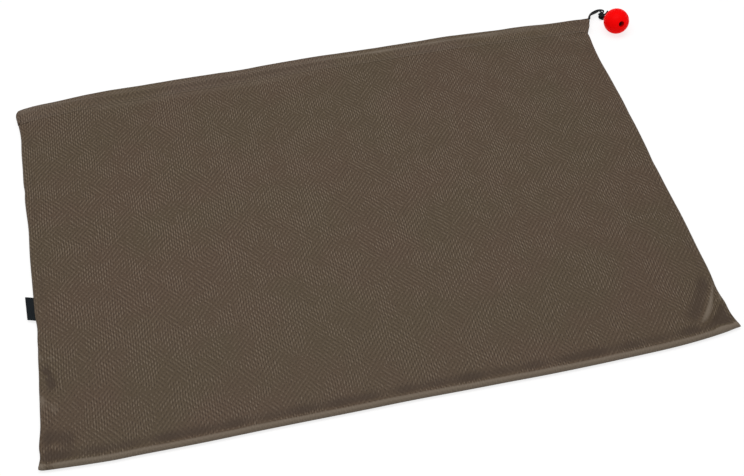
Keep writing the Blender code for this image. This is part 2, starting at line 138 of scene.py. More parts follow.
# Noises of the cloth, in cells to the metre: what bends the rows of holes, what makes them come and go,
# what breaks them up, the yarn's own grain and the broad changes of colour, and how far the first one bends
BEND_CELLS, FADE_CELLS, BREAK_CELLS, YARN_CELLS, BROAD_CELLS = 24.0, 27.0, 190.0, 620.0, 7.0
ROW_BEND = 8.0

# Creases in the front cloth: start, end, height, width at the start and at the end
CREASES = (
    ((0.4860, -0.2520), (0.4400, -0.3190), 0.0032, 0.0019, 0.0058),
    ((0.4900, -0.2720), (0.4790, -0.2900), 0.0015, 0.0018, 0.0026),
    ((0.4900, -0.2860), (0.4660, -0.3160), -0.0025, 0.0050, 0.0070),
    ((0.4760, -0.2360), (0.4300, -0.3080), -0.0021, 0.0070, 0.0150),
    ((0.4600, -0.3260), (0.4960, -0.3330), 0.0011, 0.0060, 0.0070),
    ((-0.5000, -0.1570), (-0.4640, -0.1650), 0.0016, 0.0022, 0.0030),
    ((-0.4860, -0.1740), (-0.4680, -0.2120), -0.0022, 0.0050, 0.0070),
    ((-0.4900, -0.1850), (-0.4740, -0.1920), 0.0020, 0.0022, 0.0026),
    ((-0.4900, -0.2200), (-0.4700, -0.2520), 0.0013, 0.0060, 0.0100),
    ((-0.4960, -0.2830), (-0.4450, -0.2960), -0.0021, 0.0110, 0.0120),
    ((-0.4820, -0.2970), (-0.4660, -0.3010), 0.0018, 0.0024, 0.0030),
    ((0.4860, 0.2700), (0.4300, 0.2930), 0.0006, 0.0060, 0.0080),
)

# Hem: distances in from the fold, heights above the hem's own lower face
HEM_LEFT_X = -0.49085
HEM_RIGHT_X = 0.4993
HEM_END_SLANT = 9.5 * MM
SLANT_FROM_X = 0.44
FOLD_INSET = 1.8 * MM
FLANGE_TIP = 30.5 * MM
FLANGE_HEIGHT = 0.5 * MM
STITCH_AT = 29.1 * MM
HEM_DEPTH = 28 * MM
HEM_RISE, HEM_RISE_FROM, HEM_RISE_LENGTH = 2.1 * MM, 28.5 * MM, 7 * MM
HEM_WAVE, HEM_RIPPLE = 0.30 * MM, 0.12 * MM
FOLD_HEIGHT = 1.3 * MM
FOLD_RADIUS, FOLD_LOW_RADIUS = 4 * MM, 2.2 * MM
RIDGE_HEIGHT, RIDGE_HALF = 4.78 * MM, 3.3 * MM
GROOVE_AT, GROOVE_HALF, GROOVE_DEPTH = 20 * MM, 4.5 * MM, 0.9 * MM
TIP_FROM, TIP_LENGTH = 29.9 * MM, 0.6 * MM
HOLLOW_FROM, HOLLOW_SHARE = 0.9 * MM, 27.0 / 30.5
LEAST_HOLLOW = 0.05 * MM
# Along the mouth: place, how strongly the fold's crest is painted lighter as a highlight (darker below 0),
# its distance in, how deep the groove behind it is, which also sets its painted shade
HEM_HIGHLIGHT_AND_GROOVE = ((-0.500, 0.42, 0.0085, 0.05), (-0.430, 0.42, 0.0085, 0.15), (-0.350, 0.34, 0.0080, 0.42),
                (-0.085, 0.30, 0.0085, 0.55), (0.020, 0.48, 0.0110, 0.45), (0.130, 0.68, 0.0125, 0.25),
                (0.340, 0.52, 0.0110, 0.08), (0.440, 0.40, 0.0110, 0.0), (0.470, -0.40, 0.0125, 0.0),
                (0.500, -0.40, 0.0125, 0.0))
HEM_TOP_STATIONS = [d * MM for d in (30.5, 30.2, 29.7, 29.1, 28.5, 27.8, *range(27, 3, -1),
                                     3.1, 2.3, 1.6, 1.0, 0.5, 0.15)]
HEM_LOW_STATIONS = [d * MM for d in (0, 0.15, 0.5, 1.0, 1.6, 2.3, 3.1, 4.0, 6.0, 8.5, 11.5, 14.5, 17.5, 20.5,
                                     23.5, 26.0, 27.4, 28.4, 29.1, 29.7, 30.2)]
# Seeds of each hem's own small waves
FRONT_SEED, BACK_SEED = 21, 31

# Left end of the hems
CORNER_LEFT_X = -0.4978
CORNER_PLAN_RADIUS = 7 * MM
CORNER_TAPER = 0.35
CORNER_TAPER_FROM = 10 * MM
CORNER_DROP = 1.2 * MM

# Raw edges inside the sack, in from the seam and up from the floor, and the stitches on cloth
ALLOWANCE_GAP, ALLOWANCE_WIDTH = 0.4 * MM, 9.8 * MM
ALLOWANCE_LOW_Z, ALLOWANCE_TOP_Z = 0.90 * MM, 1.68 * MM
EDGING_Z, EDGING_INSET = 1.29 * MM, 0.35 * MM
EDGING_LENGTH, EDGING_HALF_HEIGHT = 2.4 * MM, 0.62 * MM
EDGING_SLANT = math.radians(28)
STITCH_Z, STITCH_HEIGHT = 0.42 * MM, 0.95 * MM
TACK_LENGTH, TACK_SLANT = 1.7 * MM, math.radians(14)

# Near the left end the held cord keeps clear of the rounded corner: where that starts, over what length,
# how far the cord moves across, and how far its turn stands in
CORD_END_FROM = -0.470
CORD_END_LENGTH = 18 * MM
CORD_END_SHIFT = 4 * MM
CORD_END_INSET = 2.5 * MM

# Label: how far its corners round off and over what share of its length, and how far in its root stands
LABEL_CORNER, LABEL_CORNER_SHARE = 0.35 * MM, 0.012
LABEL_ROOT_INSET = 0.4 * MM
TAPE_RIB, TAPE_PICK = 0.55 * MM, 0.38 * MM

# Hole of the float
BORE_RADIUS, SEAT_RADIUS, SEAT_DEPTH = 2.1 * MM, 5.0 * MM, 13 * MM
BORE_CHAMFER, SEAT_CHAMFER = 0.4 * MM, 0.5 * MM

# Free cord, with its route points as the solids have them
CORD_DIAMETER = 3 * MM
FRONT_RUN = Vector((0.4995, 0.3194, 0.01225))
BACK_RUN = Vector((0.4995, 0.3200, 0.00265))
TOUCH_GAP = 0.3 * MM
FRONT_TAIL_FROM_EXIT = ((0.0009, 0.0, 0.0), (0.0023, 0.0007, 0.0), (0.0032, 0.0023, 0.0001),
                        (0.0043, 0.0056, 0.0001), (0.0082, 0.0098, -0.0002), (0.0148, 0.0127, -0.0012),
                        (0.0220, 0.0162, -0.0023))
BACK_TAIL_FROM_EXIT = ((0.0015, 0.0, 0.0), (0.0028, 0.0008, 0.0005), (0.0033, 0.0026, 0.0024),
                       (0.0040, 0.0060, 0.0042), (0.0082, 0.0126, 0.0046), (0.0148, 0.0186, 0.0041),
                       (0.0240, 0.0229, 0.0034), (0.0320, 0.0238, 0.0028))
FRONT_TAIL_TO_KNOT = ((-0.0016, 0.0046, 0.0032), (0.0009, 0.0039, 0.0026), (0.0019, 0.0019, 0.0021),
                      (0.0020, 0.0003, 0.0020))
BACK_TAIL_TO_KNOT = ((0.0083, 0.0070, -0.0006), (0.0074, 0.0038, -0.0013), (0.0044, 0.0020, -0.0018),
                     (0.0031, 0.0003, -0.0020))
FREE_END = ((0.0055, 0.0018, 0.0010), (0.0082, 0.0022, 0.0012), (0.0116, 0.0046, 0.0018),
            (0.0146, 0.0076, 0.0022))
NECK_FROM_KNOT = ((0.0053, -0.0028, 0.0008), (0.0070, -0.0029, 0.0009), (0.0103, -0.0054, 0.0021))
NECK_ON_AXIS = (0.0050, 0.0025)
BRAID_RELIEF = 0.045
STOPPER_DIAMETER = 8.2 * MM
STOPPER_LENGTH = 6 * MM
STOPPER_SHARE = 0.9
FRONT_TAIL_LENGTH = 0.0419
BACK_TAIL_LENGTH = 0.0599


# Places read from the frame

def centre_of(node):
    low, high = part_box(node)
    return (low + high) / 2


def size_of(node):
    low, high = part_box(node)
    return high - low


def float_axis():
    """Direction of the float's bore, and the turn that takes +Z to it."""
    axis = Vector(next(joint["axis"] for joint in frame["joints"] if joint["name"] == "float_spin"))
    axis.normalize()
    return axis, np.array(axis.to_track_quat("Z", "Y").to_matrix())


BODY_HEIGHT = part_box("front_panel")[1].z
RIM_Z = BODY_HEIGHT / 2
FRONT_HEM_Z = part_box("front_cord_tunnel")[0].z
STACK_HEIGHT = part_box("front_cord_tunnel")[1].z


class EdgeLine:
    """Smooth line through stations of an edge: gives the place across at places along it."""

    def __init__(self, stations, shifts):
        rows = np.array(sorted(stations))
        self.along, self.across = rows[:, 0], rows[:, 1]
        self.slope = np.gradient(self.across, self.along)
        self.shifts = shifts

    def __call__(self, at):
        at = np.asarray(at, float)
        k = np.clip(np.searchsorted(self.along, at) - 1, 0, len(self.along) - 2)
        step = self.along[k + 1] - self.along[k]
        t = np.clip((at - self.along[k]) / step, -0.5, 1.5)
        value = ((1 + 2 * t) * (1 - t) ** 2 * self.across[k] + t * (1 - t) ** 2 * step * self.slope[k]
                 + t * t * (3 - 2 * t) * self.across[k + 1] + t * t * (t - 1) * step * self.slope[k + 1])
        for place, shift, half in self.shifts:
            value = value + shift * np.exp(-((at - place) / half) ** 2)
        return value


def rim_stations(node, axis, outward):
    """Outermost points of a swept node at the middle of its height, one for each section."""
    points = np.unique(np.round([v.co[:] for v in frame["nodes"][node].data.vertices], 6), axis=0)
    middle = (points[:, 2].min() + points[:, 2].max()) / 2
    points = points[np.abs(points[:, 2] - middle) < 0.05 * MM]
    rows = sorted((p[axis], p[1 - axis]) for p in points)
    kept = []
    for along, across in rows:
        if kept and along - kept[-1][0] < 0.3 * MM:
            if outward * across > outward * kept[-1][1]:
                kept[-1] = (along, across)
        else:
            kept.append((along, across))
    return kept


def read_edges():
    bottom = rim_stations("bottom_seam", 0, -1)
    mouth = rim_stations("front_cord_tunnel", 0, 1)
    corner_low, corner_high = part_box("left_tunnel_corner")
    left = rim_stations("left_side_seam", 1, -1)
    left += [(bottom[0][1], bottom[0][0]), (corner_high.y, corner_low.x)]
    right = rim_stations("right_side_seam", 1, 1)
    right += [(bottom[-1][1], bottom[-1][0])]
    return (EdgeLine(bottom, BOTTOM_WANDER), EdgeLine(mouth, MOUTH_WANDER),
            EdgeLine(left, LEFT_WANDER), EdgeLine(right, RIGHT_WANDER))


BOTTOM_EDGE, MOUTH_EDGE, LEFT_EDGE, RIGHT_EDGE = read_edges()


# Shape of the cloth

def smooth(t):
    t = np.clip(t, 0, 1)
    return t * t * (3 - 2 * t)


def bell(t):
    return np.exp(-t * t)


def quarter_round(t):
    """Height of a rounded edge, from 0 at its rim to 1 at its whole radius in."""
    return np.sqrt(1 - np.clip(1 - t, 0, 1) ** 2)


def wander(at, wavelengths, seed):
    """Sum of a few unlike waves along a line, from about -1 to 1."""
    phases = np.random.default_rng(seed).uniform(0, TURN, len(wavelengths))
    waves = [np.sin(TURN * at / length + phase) for length, phase in zip(wavelengths, phases)]
    return sum(waves) / len(waves)


def stations(near_low, near_high, step, span):
    """Rows of share and offset: a place is low + share * (high - low) + offset."""
    rows = [(0.0, d) for d in near_low]
    inner = span - near_low[-1] - near_high[-1]
    count = round(inner / step)
    for k in range(1, count):
        t = k / count
        rows.append((t, near_low[-1] * (1 - t) - near_high[-1] * t))
    rows += [(1.0, -d) for d in reversed(near_high)]
    return np.array(rows)


def beside(axis, along, across, z):
    """Points from their places along and across an edge that runs along x, axis 0, or y, axis 1."""
    return np.stack([across, along, z] if axis else [along, across, z], -1)


def body_grid(step):
    """Places of the master grid, and how far each is in from the cloth's left, right, lower and upper end."""
    span = size_of("bottom_seam").x
    depth = size_of("left_side_seam").y + SEAM_WIDTH
    u = stations(EDGE_STATIONS, EDGE_STATIONS, step, span)[:, None, :]
    v = stations(EDGE_STATIONS, HEM_STATIONS, step, depth)[None, :, :]
    x = (u[..., 0] - 0.5) * span + 0 * v[..., 0]
    y = (v[..., 0] - 0.5) * depth + 0 * u[..., 0]
    for _ in range(6):
        low, high = BOTTOM_EDGE(x), MOUTH_EDGE(x) - PANEL_TOP_INSET
        y = low + v[..., 0] * (high - low) + v[..., 1]
        left, right = LEFT_EDGE(y), RIGHT_EDGE(y)
        x = left + u[..., 0] * (right - left) + u[..., 1]
    inset = (x - LEFT_EDGE(y), RIGHT_EDGE(y) - x, y - BOTTOM_EDGE(x),
             MOUTH_EDGE(x) - PANEL_TOP_INSET - y)
    return x, y, inset


def crease_heights(x, y):
    """Height of the soft creases, each a ridge or groove that widens along its line."""
    total = np.zeros_like(x)
    for start, end, height, narrow, wide in CREASES:
        along = np.array(end) - np.array(start)
        length = np.hypot(*along)
        px, py = x - start[0], y - start[1]
        t = (px * along[0] + py * along[1]) / length ** 2
        off = (py * along[0] - px * along[1]) / length
        bow = 0.06 * length * (1 - (2 * np.clip(t, 0, 1) - 1) ** 2)
        width = narrow + (wide - narrow) * np.clip(t, 0, 1)
        ends = smooth(t / 0.25 + 0.3) * smooth((1 - t) / 0.25 + 0.3)
        total += height * bell((off - bow) / width) * ends
    return total


def body_surfaces(x, y, inset, sag):
    """Heights of the sack's upper and lower skins, and the relief that tints them: painted highlight on
    crests, ridges and rims, painted shade in valleys and crease grooves.
    """
    left, right, bottom, hem = inset
    rim_share = np.ones_like(x)
    low_share = np.ones_like(x)
    for d in (left, right, bottom):
        rim_share *= quarter_round(d / ROLL_RADIUS)
        low_share *= quarter_round(d / LOW_ROLL_RADIUS)
    vary_x = 1 + 0.45 * wander(x, (0.083, 0.047, 0.19), 3)
    vary_y = 1 + 0.6 * wander(y, (0.071, 0.039, 0.16), 5)
    crest = bell((bottom - CREST_AT) / CREST_HALF)
    valley = bell((bottom - VALLEY_AT) / VALLEY_HALF)
    side_crest = sum(bell((d - SIDE_CREST_AT) / SIDE_CREST_HALF) for d in (left, right))
    side_valley = sum(bell((d - SIDE_VALLEY_AT) / SIDE_VALLEY_HALF) for d in (left, right))
    creases = crease_heights(x, y)
    plateau = BODY_HEIGHT - PLATEAU_DROP
    plateau = plateau + CREST_RISE * crest - VALLEY_DEPTH * valley * vary_x
    plateau = plateau - SIDE_VALLEY_DEPTH * side_valley * vary_y
    plateau = plateau - HEM_BAND_DEPTH * bell((hem - HEM_BAND_AT) / (5 * MM)) + creases
    middle = smooth(np.minimum.reduce([left, right, bottom, hem + 0.02]) / SAG_REACH)
    waves = wander(x + 0.3 * y, (0.31, 0.17, 0.11), 11) + wander(y - 0.2 * x, (0.27, 0.14, 0.098), 12)
    plateau = plateau + middle * sag * (0.5 * waves - 0.6)
    top = RIM_Z + (plateau - RIM_Z) * rim_share
    low = RIM_Z * (1 - low_share)
    # Painted light: crests and crease ridges turn lighter as painted highlight, valleys and crease grooves
    # darker as painted shade
    relief = crest * (0.8 + 0.2 * vary_x) - 0.75 * valley * vary_x
    relief = relief + 0.25 * side_crest - 0.3 * side_valley * vary_y + np.tanh(creases / (2.0 * MM))
    # Painted highlight along the bottom rim, where less light reaches from above, and lighter along the left
    # rim
    relief = relief + 0.5 * bell(bottom / (2.2 * MM)) + 0.35 * bell(left / (1.8 * MM))
    beside_groove = smooth((0.06 - x) / 0.1) * smooth((x + 0.45) / 0.1)
    # Painted highlight: a soft light band just below the hem over part of the mouth
    relief = relief + 0.36 * bell((hem - HEM_BAND_AT) / (10 * MM)) * beside_groove
    return top, low, np.clip(relief, -1, 1)


def hem_highlight_and_groove(x):
    """How strongly the crest is painted as a highlight, its distance in, and how deep the groove is, at
    places along the mouth.
    """
    place, *columns = np.array(HEM_HIGHLIGHT_AND_GROOVE).T
    return [np.interp(x, place, column) for column in columns]


def cord_line(run, x):
    """Place across the hem of the cord that is held in it."""
    return run.y - CORD_END_SHIFT * smooth((CORD_END_FROM - x) / CORD_END_LENGTH)


def hem_surfaces(x, d, cord_y, wave_seed):
    """Upper and lower height of a hem's outer skin above its lower face, at distances in from the fold."""
    wave = wander(x, (0.061, 0.037, 0.14), wave_seed)
    ripple = wander(x + 0.4 * d, (0.031, 0.019, 0.045), wave_seed + 1)
    cord_d = MOUTH_EDGE(x) - FOLD_INSET - cord_y
    groove = GROOVE_DEPTH * hem_highlight_and_groove(x)[2] * bell((d - GROOVE_AT) / GROOVE_HALF)
    base = FLANGE_HEIGHT + HEM_RISE * smooth((HEM_RISE_FROM - d) / HEM_RISE_LENGTH)
    base = base + HEM_WAVE * wave * smooth((STITCH_AT - d) / (9 * MM))
    base = base - groove * (1 + 0.4 * ripple)
    base = base + HEM_RIPPLE * ripple * smooth((STITCH_AT - d) / (4 * MM))
    top = base + np.maximum(RIDGE_HEIGHT - base, 0) * bell((d - cord_d) / RIDGE_HALF)
    fold_z = FOLD_HEIGHT + 0.15 * MM * wave
    top = fold_z + (top - fold_z) * quarter_round(d / FOLD_RADIUS)
    low = fold_z * (1 - quarter_round(d / FOLD_LOW_RADIUS))
    tip = smooth((d - TIP_FROM) / TIP_LENGTH)
    top = top - 0.12 * MM * tip
    low = low + 0.05 * MM * tip
    return top, low


# Mesh helpers

def grid_faces(rows, columns, start, flip=False, closed=False):
    r, c = np.meshgrid(np.arange(rows - 1), np.arange(columns if closed else columns - 1), indexing="ij")
    n = (c + 1) % columns
    quads = np.stack([r * columns + c, (r + 1) * columns + c, (r + 1) * columns + n, r * columns + n], -1)
    quads = quads.reshape(-1, 4) + start
    return quads[:, ::-1] if flip else quads


def lengths_along(points, axis=0):
    """Distance of each point from the first one, along lines of points."""
    steps = np.linalg.norm(np.diff(points, axis=axis), axis=-1)
    return np.concatenate([0 * np.take(steps, [0], axis), np.cumsum(steps, axis)], axis)


def grid_normals(points):
    normals = np.cross(np.gradient(points, axis=0), np.gradient(points, axis=1))
    return normals / np.maximum(np.linalg.norm(normals, axis=-1, keepdims=True), 1e-12)


def add_object(name, data):
    piece = bpy.data.objects.new(name, data)
    bpy.context.scene.collection.objects.link(piece)
    return piece


def new_piece(name, points, faces, material, uv=None, relief=None):
    """Plain mesh piece at the origin, with its weave map in metres and its relief as an attribute."""
    mesh = bpy.data.meshes.new(name)
    mesh.from_pydata(np.asarray(points).reshape(-1, 3).tolist(), [], [list(map(int, f)) for f in faces])
    if relief is not None:
        attribute = mesh.attributes.new("relief", "FLOAT", "POINT")
        attribute.data.foreach_set("value", np.asarray(relief, np.float32).ravel())
    if uv is not None:
        uv = np.asarray(uv, float).reshape(-1, 2)
        layer = mesh.uv_layers.new(name="weave")
        corners = np.zeros(len(mesh.loops), np.int32)
        mesh.loops.foreach_get("vertex_index", corners)
        layer.data.foreach_set("uv", uv[corners].astype(np.float32).ravel())
    mesh.materials.append(material)
    return add_object(name, mesh)


def close_up(piece, merge=0.0, sharp=50):
    """Merge points nearer than a distance, turn the surface outwards and shade it smooth."""
    shape = bmesh.new()
    shape.from_mesh(piece.data)
    if merge:
        bmesh.ops.remove_doubles(shape, verts=shape.verts, dist=merge)
        bmesh.ops.dissolve_degenerate(shape, edges=shape.edges, dist=1e-7)
        bmesh.ops.recalc_face_normals(shape, faces=shape.faces)
    if shape.calc_volume(signed=True) < 0:
        bmesh.ops.reverse_faces(shape, faces=shape.faces)
    shape.to_mesh(piece.data)
    shape.free()
    piece.data.shade_smooth()
    piece.data.set_sharp_from_angle(angle=math.radians(sharp))
    return piece


def two_skins(name, outer, inner, faces, uv, relief, material, merge=0.0):
    """Piece of two grids of the same size, which share their weave map and relief."""
    points = np.concatenate([outer.reshape(-1, 3), inner.reshape(-1, 3)])
    piece = new_piece(name, points, faces, material, np.concatenate([uv.reshape(-1, 2)] * 2),
                      np.concatenate([relief.ravel()] * 2))
    return close_up(piece, merge)


def thin_shell(name, outer, inner, uv, relief, material):
    """Closed cloth shell between two grids, with its raw edges walled."""
    rows, columns = outer.shape[:2]
    count = rows * columns
    faces = [*grid_faces(rows, columns, 0), *grid_faces(rows, columns, count, flip=True)]
    index = np.arange(count).reshape(rows, columns)
    rim = [*index[0, :], *index[1:, -1], *index[-1, -2::-1], *index[-2:0:-1, 0]]
    faces += [(b, b + count, a + count, a) for a, b in zip(rim, rim[1:] + rim[:1])]
    return two_skins(name, outer, inner, faces, uv, relief, material)


def hollow_tube(name, outer, inner, uv, relief, material, both_ends=True):
    """Tube of cloth: two closed skins, one in the other, walled at both ends or at the first alone."""
    rows, columns = outer.shape[:2]
    count = rows * columns
    faces = [*grid_faces(rows, columns, 0, closed=True),
             *grid_faces(rows, columns, count, flip=True, closed=True)]
    ring = np.arange(columns)
    following = np.roll(ring, -1)
    faces += [(a, b, b + count, a + count) for a, b in zip(ring, following)]
    if both_ends:
        last = (rows - 1) * columns
        faces += [(a + count, b + count, b, a) for a, b in zip(ring + last, following + last)]
    return two_skins(name, outer, inner, faces, uv, relief, material, 0.0 if both_ends else 1e-6)


def capped_faces(rows, sides):
    """Faces of a tube made of rings, with a cap at each end."""
    first = np.arange(sides)
    return [*grid_faces(rows, sides, 0, closed=True), first, first[::-1] + (rows - 1) * sides]


def seam_roll(name, top, low, uv, relief, material):
    """Solid rolled seam between strips of the upper and lower skins: columns run in from the rim."""
    around = np.concatenate([low[:, ::-1], top[:, 1:]], axis=1)
    uv = np.concatenate([uv[:, ::-1], uv[:, 1:]], axis=1)
    relief = np.concatenate([relief[:, ::-1], relief[:, 1:]], axis=1)
    piece = new_piece(name, around, capped_faces(*around.shape[:2]), material, uv, relief)
    return close_up(piece, merge=2e-6)


def strip_uv(points, base, axis, inward):
    """Weave map of a seam strip: distances across follow the curved cloth, from its inner edge out."""
    arc = lengths_along(points, 1)
    arc = arc[:, -1:] - arc
    uv = np.stack([points[..., 0], points[..., 1]], -1)
    uv[..., axis] = base - inward * arc
    return uv


# Materials

def new_material(name, **sockets):
    material = bpy.data.materials.new(name)
    material.use_nodes = True
    shader = material.node_tree.nodes["Principled BSDF"]
    for socket, value in sockets.items():
        shader.inputs[socket.replace("_", " ")].default_value = value
    return material, Nodes(material.node_tree, shader)


class Nodes:
    """Short calls that add nodes to a tree and link them. Each gives back the new node's output."""

    def __init__(self, tree, shader=None):
        self.tree = tree
        self.shader = shader

    def plug(self, socket, value):
        if isinstance(value, bpy.types.NodeSocket):
            self.tree.links.new(value, socket)
        elif value is not None:
            socket.default_value = value

    def make(self, kind, inputs, **settings):
        """All outputs of a new node, its inputs given by name or number."""
        node = self.tree.nodes.new(kind)
        for key, value in settings.items():
            setattr(node, key, value)
        for socket, value in inputs.items():
            self.plug(node.inputs[socket], value)
        return node.outputs

    def add(self, kind, *values, **settings):
        """First output of a new node, its inputs given in order."""
        return self.make(kind, dict(enumerate(values)), **settings)[0]

    def math(self, operation, *values):
        return self.add("ShaderNodeMath", *values, operation=operation)

    def dot(self, vector, direction):
        inputs = {0: vector, 1: direction}
        return self.make("ShaderNodeVectorMath", inputs, operation="DOT_PRODUCT")["Value"]

    def place(self, vector, shift=(0, 0, 0), scale=(1, 1, 1)):
        return self.add("ShaderNodeMapping", vector, shift, None, scale)

    def noise(self, vector, scale, detail=2.0, roughness=0.5):
        inputs = {"Vector": vector, "Scale": scale, "Detail": detail, "Roughness": roughness}
        return self.make("ShaderNodeTexNoise", inputs)[0]

    def ramp(self, value, low, high, to_low=0.0, to_high=1.0, kind="SMOOTHSTEP"):
        return self.add("ShaderNodeMapRange", value, low, high, to_low, to_high, interpolation_type=kind)

    def mix(self, share, first, second, blend="MIX"):
        inputs = {0: share, 6: first, 7: second}
        return self.make("ShaderNodeMix", inputs, data_type="RGBA", blend_type=blend)[2]

    def shades(self, share, colour, first, second):
        """Mix of one colour times two factors."""
        return self.mix(share, rgb(colour, first), rgb(colour, second))

    def bump(self, height, distance, strength):
        return self.make("ShaderNodeBump", {"Height": height, "Distance": distance, "Strength": strength})[0]

    def weave_map(self):
        """The piece's own map, in metres."""
        return self.add("ShaderNodeUVMap", uv_map="weave")

    def relief(self):
        """How far a point is a crest, up to 1, or a hollow, down to -1."""
        return self.make("ShaderNodeAttribute", {}, attribute_name="relief")["Fac"]

    def seen(self):
        """1 for what the eye sees, straight, mirrored or through glass, and 0 for all other light."""
        path = self.make("ShaderNodeLightPath", {})
        straight = self.math("MAXIMUM", path["Is Camera Ray"], path["Is Glossy Ray"])
        return self.math("MAXIMUM", straight, path["Is Transmission Ray"])

    def finish(self, colour=None, normal=None, roughness=None):
        self.plug(self.shader.inputs["Base Color"], colour)
        self.plug(self.shader.inputs["Normal"], normal)
        self.plug(self.shader.inputs["Roughness"], roughness)


WHITE = (1.0, 1.0, 1.0, 1.0)


def rgb(colour, factor=1.0):
    return (*(min(c * factor, 1.0) for c in colour), 1.0)


def mesh_cloth_material(name, cloth, colour, layers=1):
    """Knitted mesh: small holes in staggered rows, in patches where one line of them shows most, with painted
    highlights on its light flecks and painted shade in its dark flecks and holes.
    """
    material, nodes = new_material(name, Roughness=0.6, Specular_IOR_Level=0.16)
    uv = nodes.weave_map()
    across, along = 1 / cloth.hole_pitch, 1 / (2 * cloth.row_pitch)
    waves = ((across, along, 0.85), (-across, along, 0.85), (2 * across, 0.0, 1.25))
    shifts = ((0, 0, 0), (3.1, 1.7, 0.4), (-2.3, 4.2, 1.1))
    pattern, lattice = 0.0, 0.0
    for (kx, ky, share), shift in zip(waves, shifts):
        phase = nodes.dot(uv, (TURN * kx, TURN * ky, 0.0))
        lattice = nodes.math("ADD", lattice, nodes.math("COSINE", phase))
        moved = nodes.place(uv, shift)
        warp = nodes.math("MULTIPLY", nodes.noise(moved, BEND_CELLS), ROW_BEND)
        wavy = nodes.math("COSINE", nodes.math("ADD", phase, warp))
        if kx < 0:
            patch = nodes.math("SUBTRACT", 1.05 * share, patch)
        else:
            fade = nodes.noise(nodes.place(moved, (0.3, 0.2, 0.0)), FADE_CELLS)
            patch = nodes.ramp(fade, 0.40, 0.60, 0.12 * share, share)
        pattern = nodes.math("ADD", pattern, nodes.math("MULTIPLY", wavy, patch))
    broken = nodes.noise(nodes.place(uv, (1.0, 7.0, 0.0)), BREAK_CELLS, 1.0)
    pattern = nodes.math("MULTIPLY", pattern, nodes.ramp(broken, 0.30, 0.68, 0.25, 1.25))
    upward = nodes.dot(uv, (0.0, 1.0, 0.0))
    pattern = nodes.math("MULTIPLY", pattern, nodes.ramp(upward, -0.3, 0.1, 0.78, 1.05))
    yarn = nodes.noise(nodes.place(uv, scale=(1.0, 2.2, 1.0)), YARN_CELLS, 2.0, 0.6)
    broad = nodes.noise(nodes.place(uv, (5.0, 2.0, 0.0)), BROAD_CELLS)
    base = nodes.mix(nodes.ramp(broad, 0.35, 0.65), rgb(colour), rgb(cloth.second_colour, layers))
    # Partly painted light: the knit's pattern is its own, but its light flecks are painted yarn highlights
    # and its dark flecks painted shade between the yarns
    light = nodes.ramp(pattern, 0.15, 1.5, 0.0, cloth.fleck, "LINEAR")
    dark = nodes.ramp(pattern, -0.1, -1.3, 0.0, cloth.fleck, "LINEAR")
    tone = nodes.mix(light, base, rgb(cloth.yarn_highlight_colour))
    tone = nodes.mix(dark, tone, rgb(cloth.yarn_shade_colour))
    # Painted shade in the holes of the knit
    hole = nodes.ramp(lattice, 2.35, 2.85, 0.0, 0.55)
    tone = nodes.mix(hole, tone, rgb(cloth.yarn_shade_colour, 0.45))
    tone = nodes.mix(1.0, tone, nodes.ramp(yarn, 0.3, 0.7, 0.88, 1.12), "MULTIPLY")
    # Painted light: raised folds are tinted lighter as painted highlight, hollows darker as painted shade
    relief = nodes.relief()
    tone = nodes.mix(nodes.ramp(relief, 0.1, 1.0, 0.0, cloth.crest_highlight_share), tone, rgb(cloth.crest_highlight_colour))
    tone = nodes.mix(nodes.ramp(relief, -0.1, -1.0, 0.0, cloth.valley_shade), tone,
                     rgb(cloth.valley_shade_colour))
    grain = nodes.math("ADD", nodes.math("MULTIPLY", pattern, 0.35), nodes.math("MULTIPLY", yarn, 0.8))
    grain = nodes.math("SUBTRACT", grain, nodes.math("MULTIPLY", hole, 1.6))
    nodes.finish(tone, nodes.bump(grain, 0.25 * MM, 0.55))
    return material


def thread_material(name, settings):
    """Sewing thread: fine twist across each stitch."""
    material, nodes = new_material(name, Roughness=0.6, Sheen_Weight=0.2)
    where = nodes.make("ShaderNodeTexCoord", {})["Object"]
    twist = nodes.noise(nodes.place(where, scale=(1.0, 3.0, 1.0)), 1500.0, 2.0)
    tone = nodes.shades(nodes.ramp(twist, 0.35, 0.65), settings.thread_colour, 0.7, 1.35)
    nodes.finish(tone, nodes.bump(twist, 0.1 * MM, 0.5))
    return material


def cord_material(name, settings):
    """Braided cord: crossing strands with fine fibres, from the tube's own map in metres."""
    material, nodes = new_material(name, Roughness=0.6, Sheen_Weight=0.02, Sheen_Roughness=0.4,
                                   Specular_IOR_Level=0.14)
    uv = nodes.weave_map()
    around = TURN * settings.strands / (math.pi * settings.diameter)
    along = TURN / settings.braid_pitch
    first = nodes.math("COSINE", nodes.dot(uv, (around, along, 0.0)))
    second = nodes.math("COSINE", nodes.dot(uv, (-around, along, 0.0)))
    braid = nodes.math("MAXIMUM", first, second)
    fibre = nodes.noise(nodes.place(uv, scale=(1.0, 0.35, 1.0)), 5200.0, 2.0)
    tone = nodes.shades(nodes.ramp(braid, -0.6, 1.0), settings.cord_colour, 0.35, 1.3)
    tone = nodes.mix(nodes.ramp(fibre, 0.4, 0.75, 0.0, 0.3), tone, rgb(settings.cord_colour, 1.8))
    height = nodes.math("ADD", braid, nodes.math("MULTIPLY", fibre, 0.5))
    nodes.finish(tone, nodes.bump(height, 0.12 * MM, 0.7))
    return material


def label_material(name, settings):
    """Woven tape: fine ribs crossed by picks, paler in a few worn patches."""
    material, nodes = new_material(name, Roughness=0.6, Specular_IOR_Level=0.1)
    uv = nodes.weave_map()
    ribs = nodes.math("SINE", nodes.dot(uv, (TURN / TAPE_RIB, 0.0, 0.0)))
    picks = nodes.math("SINE", nodes.dot(uv, (0.0, TURN / TAPE_PICK, 0.0)))
    weave = nodes.math("MULTIPLY", ribs, picks)
    wear = nodes.noise(uv, 160.0, 3.0)
    tone = nodes.shades(nodes.ramp(weave, -0.8, 0.8), settings.tape_colour, 0.75, 1.25)
    tone = nodes.mix(nodes.ramp(wear, 0.5, 0.8, 0.0, 0.3), tone, rgb(settings.tape_colour, 1.9))
    nodes.finish(tone, nodes.bump(weave, 0.05 * MM, 0.6))
    return material


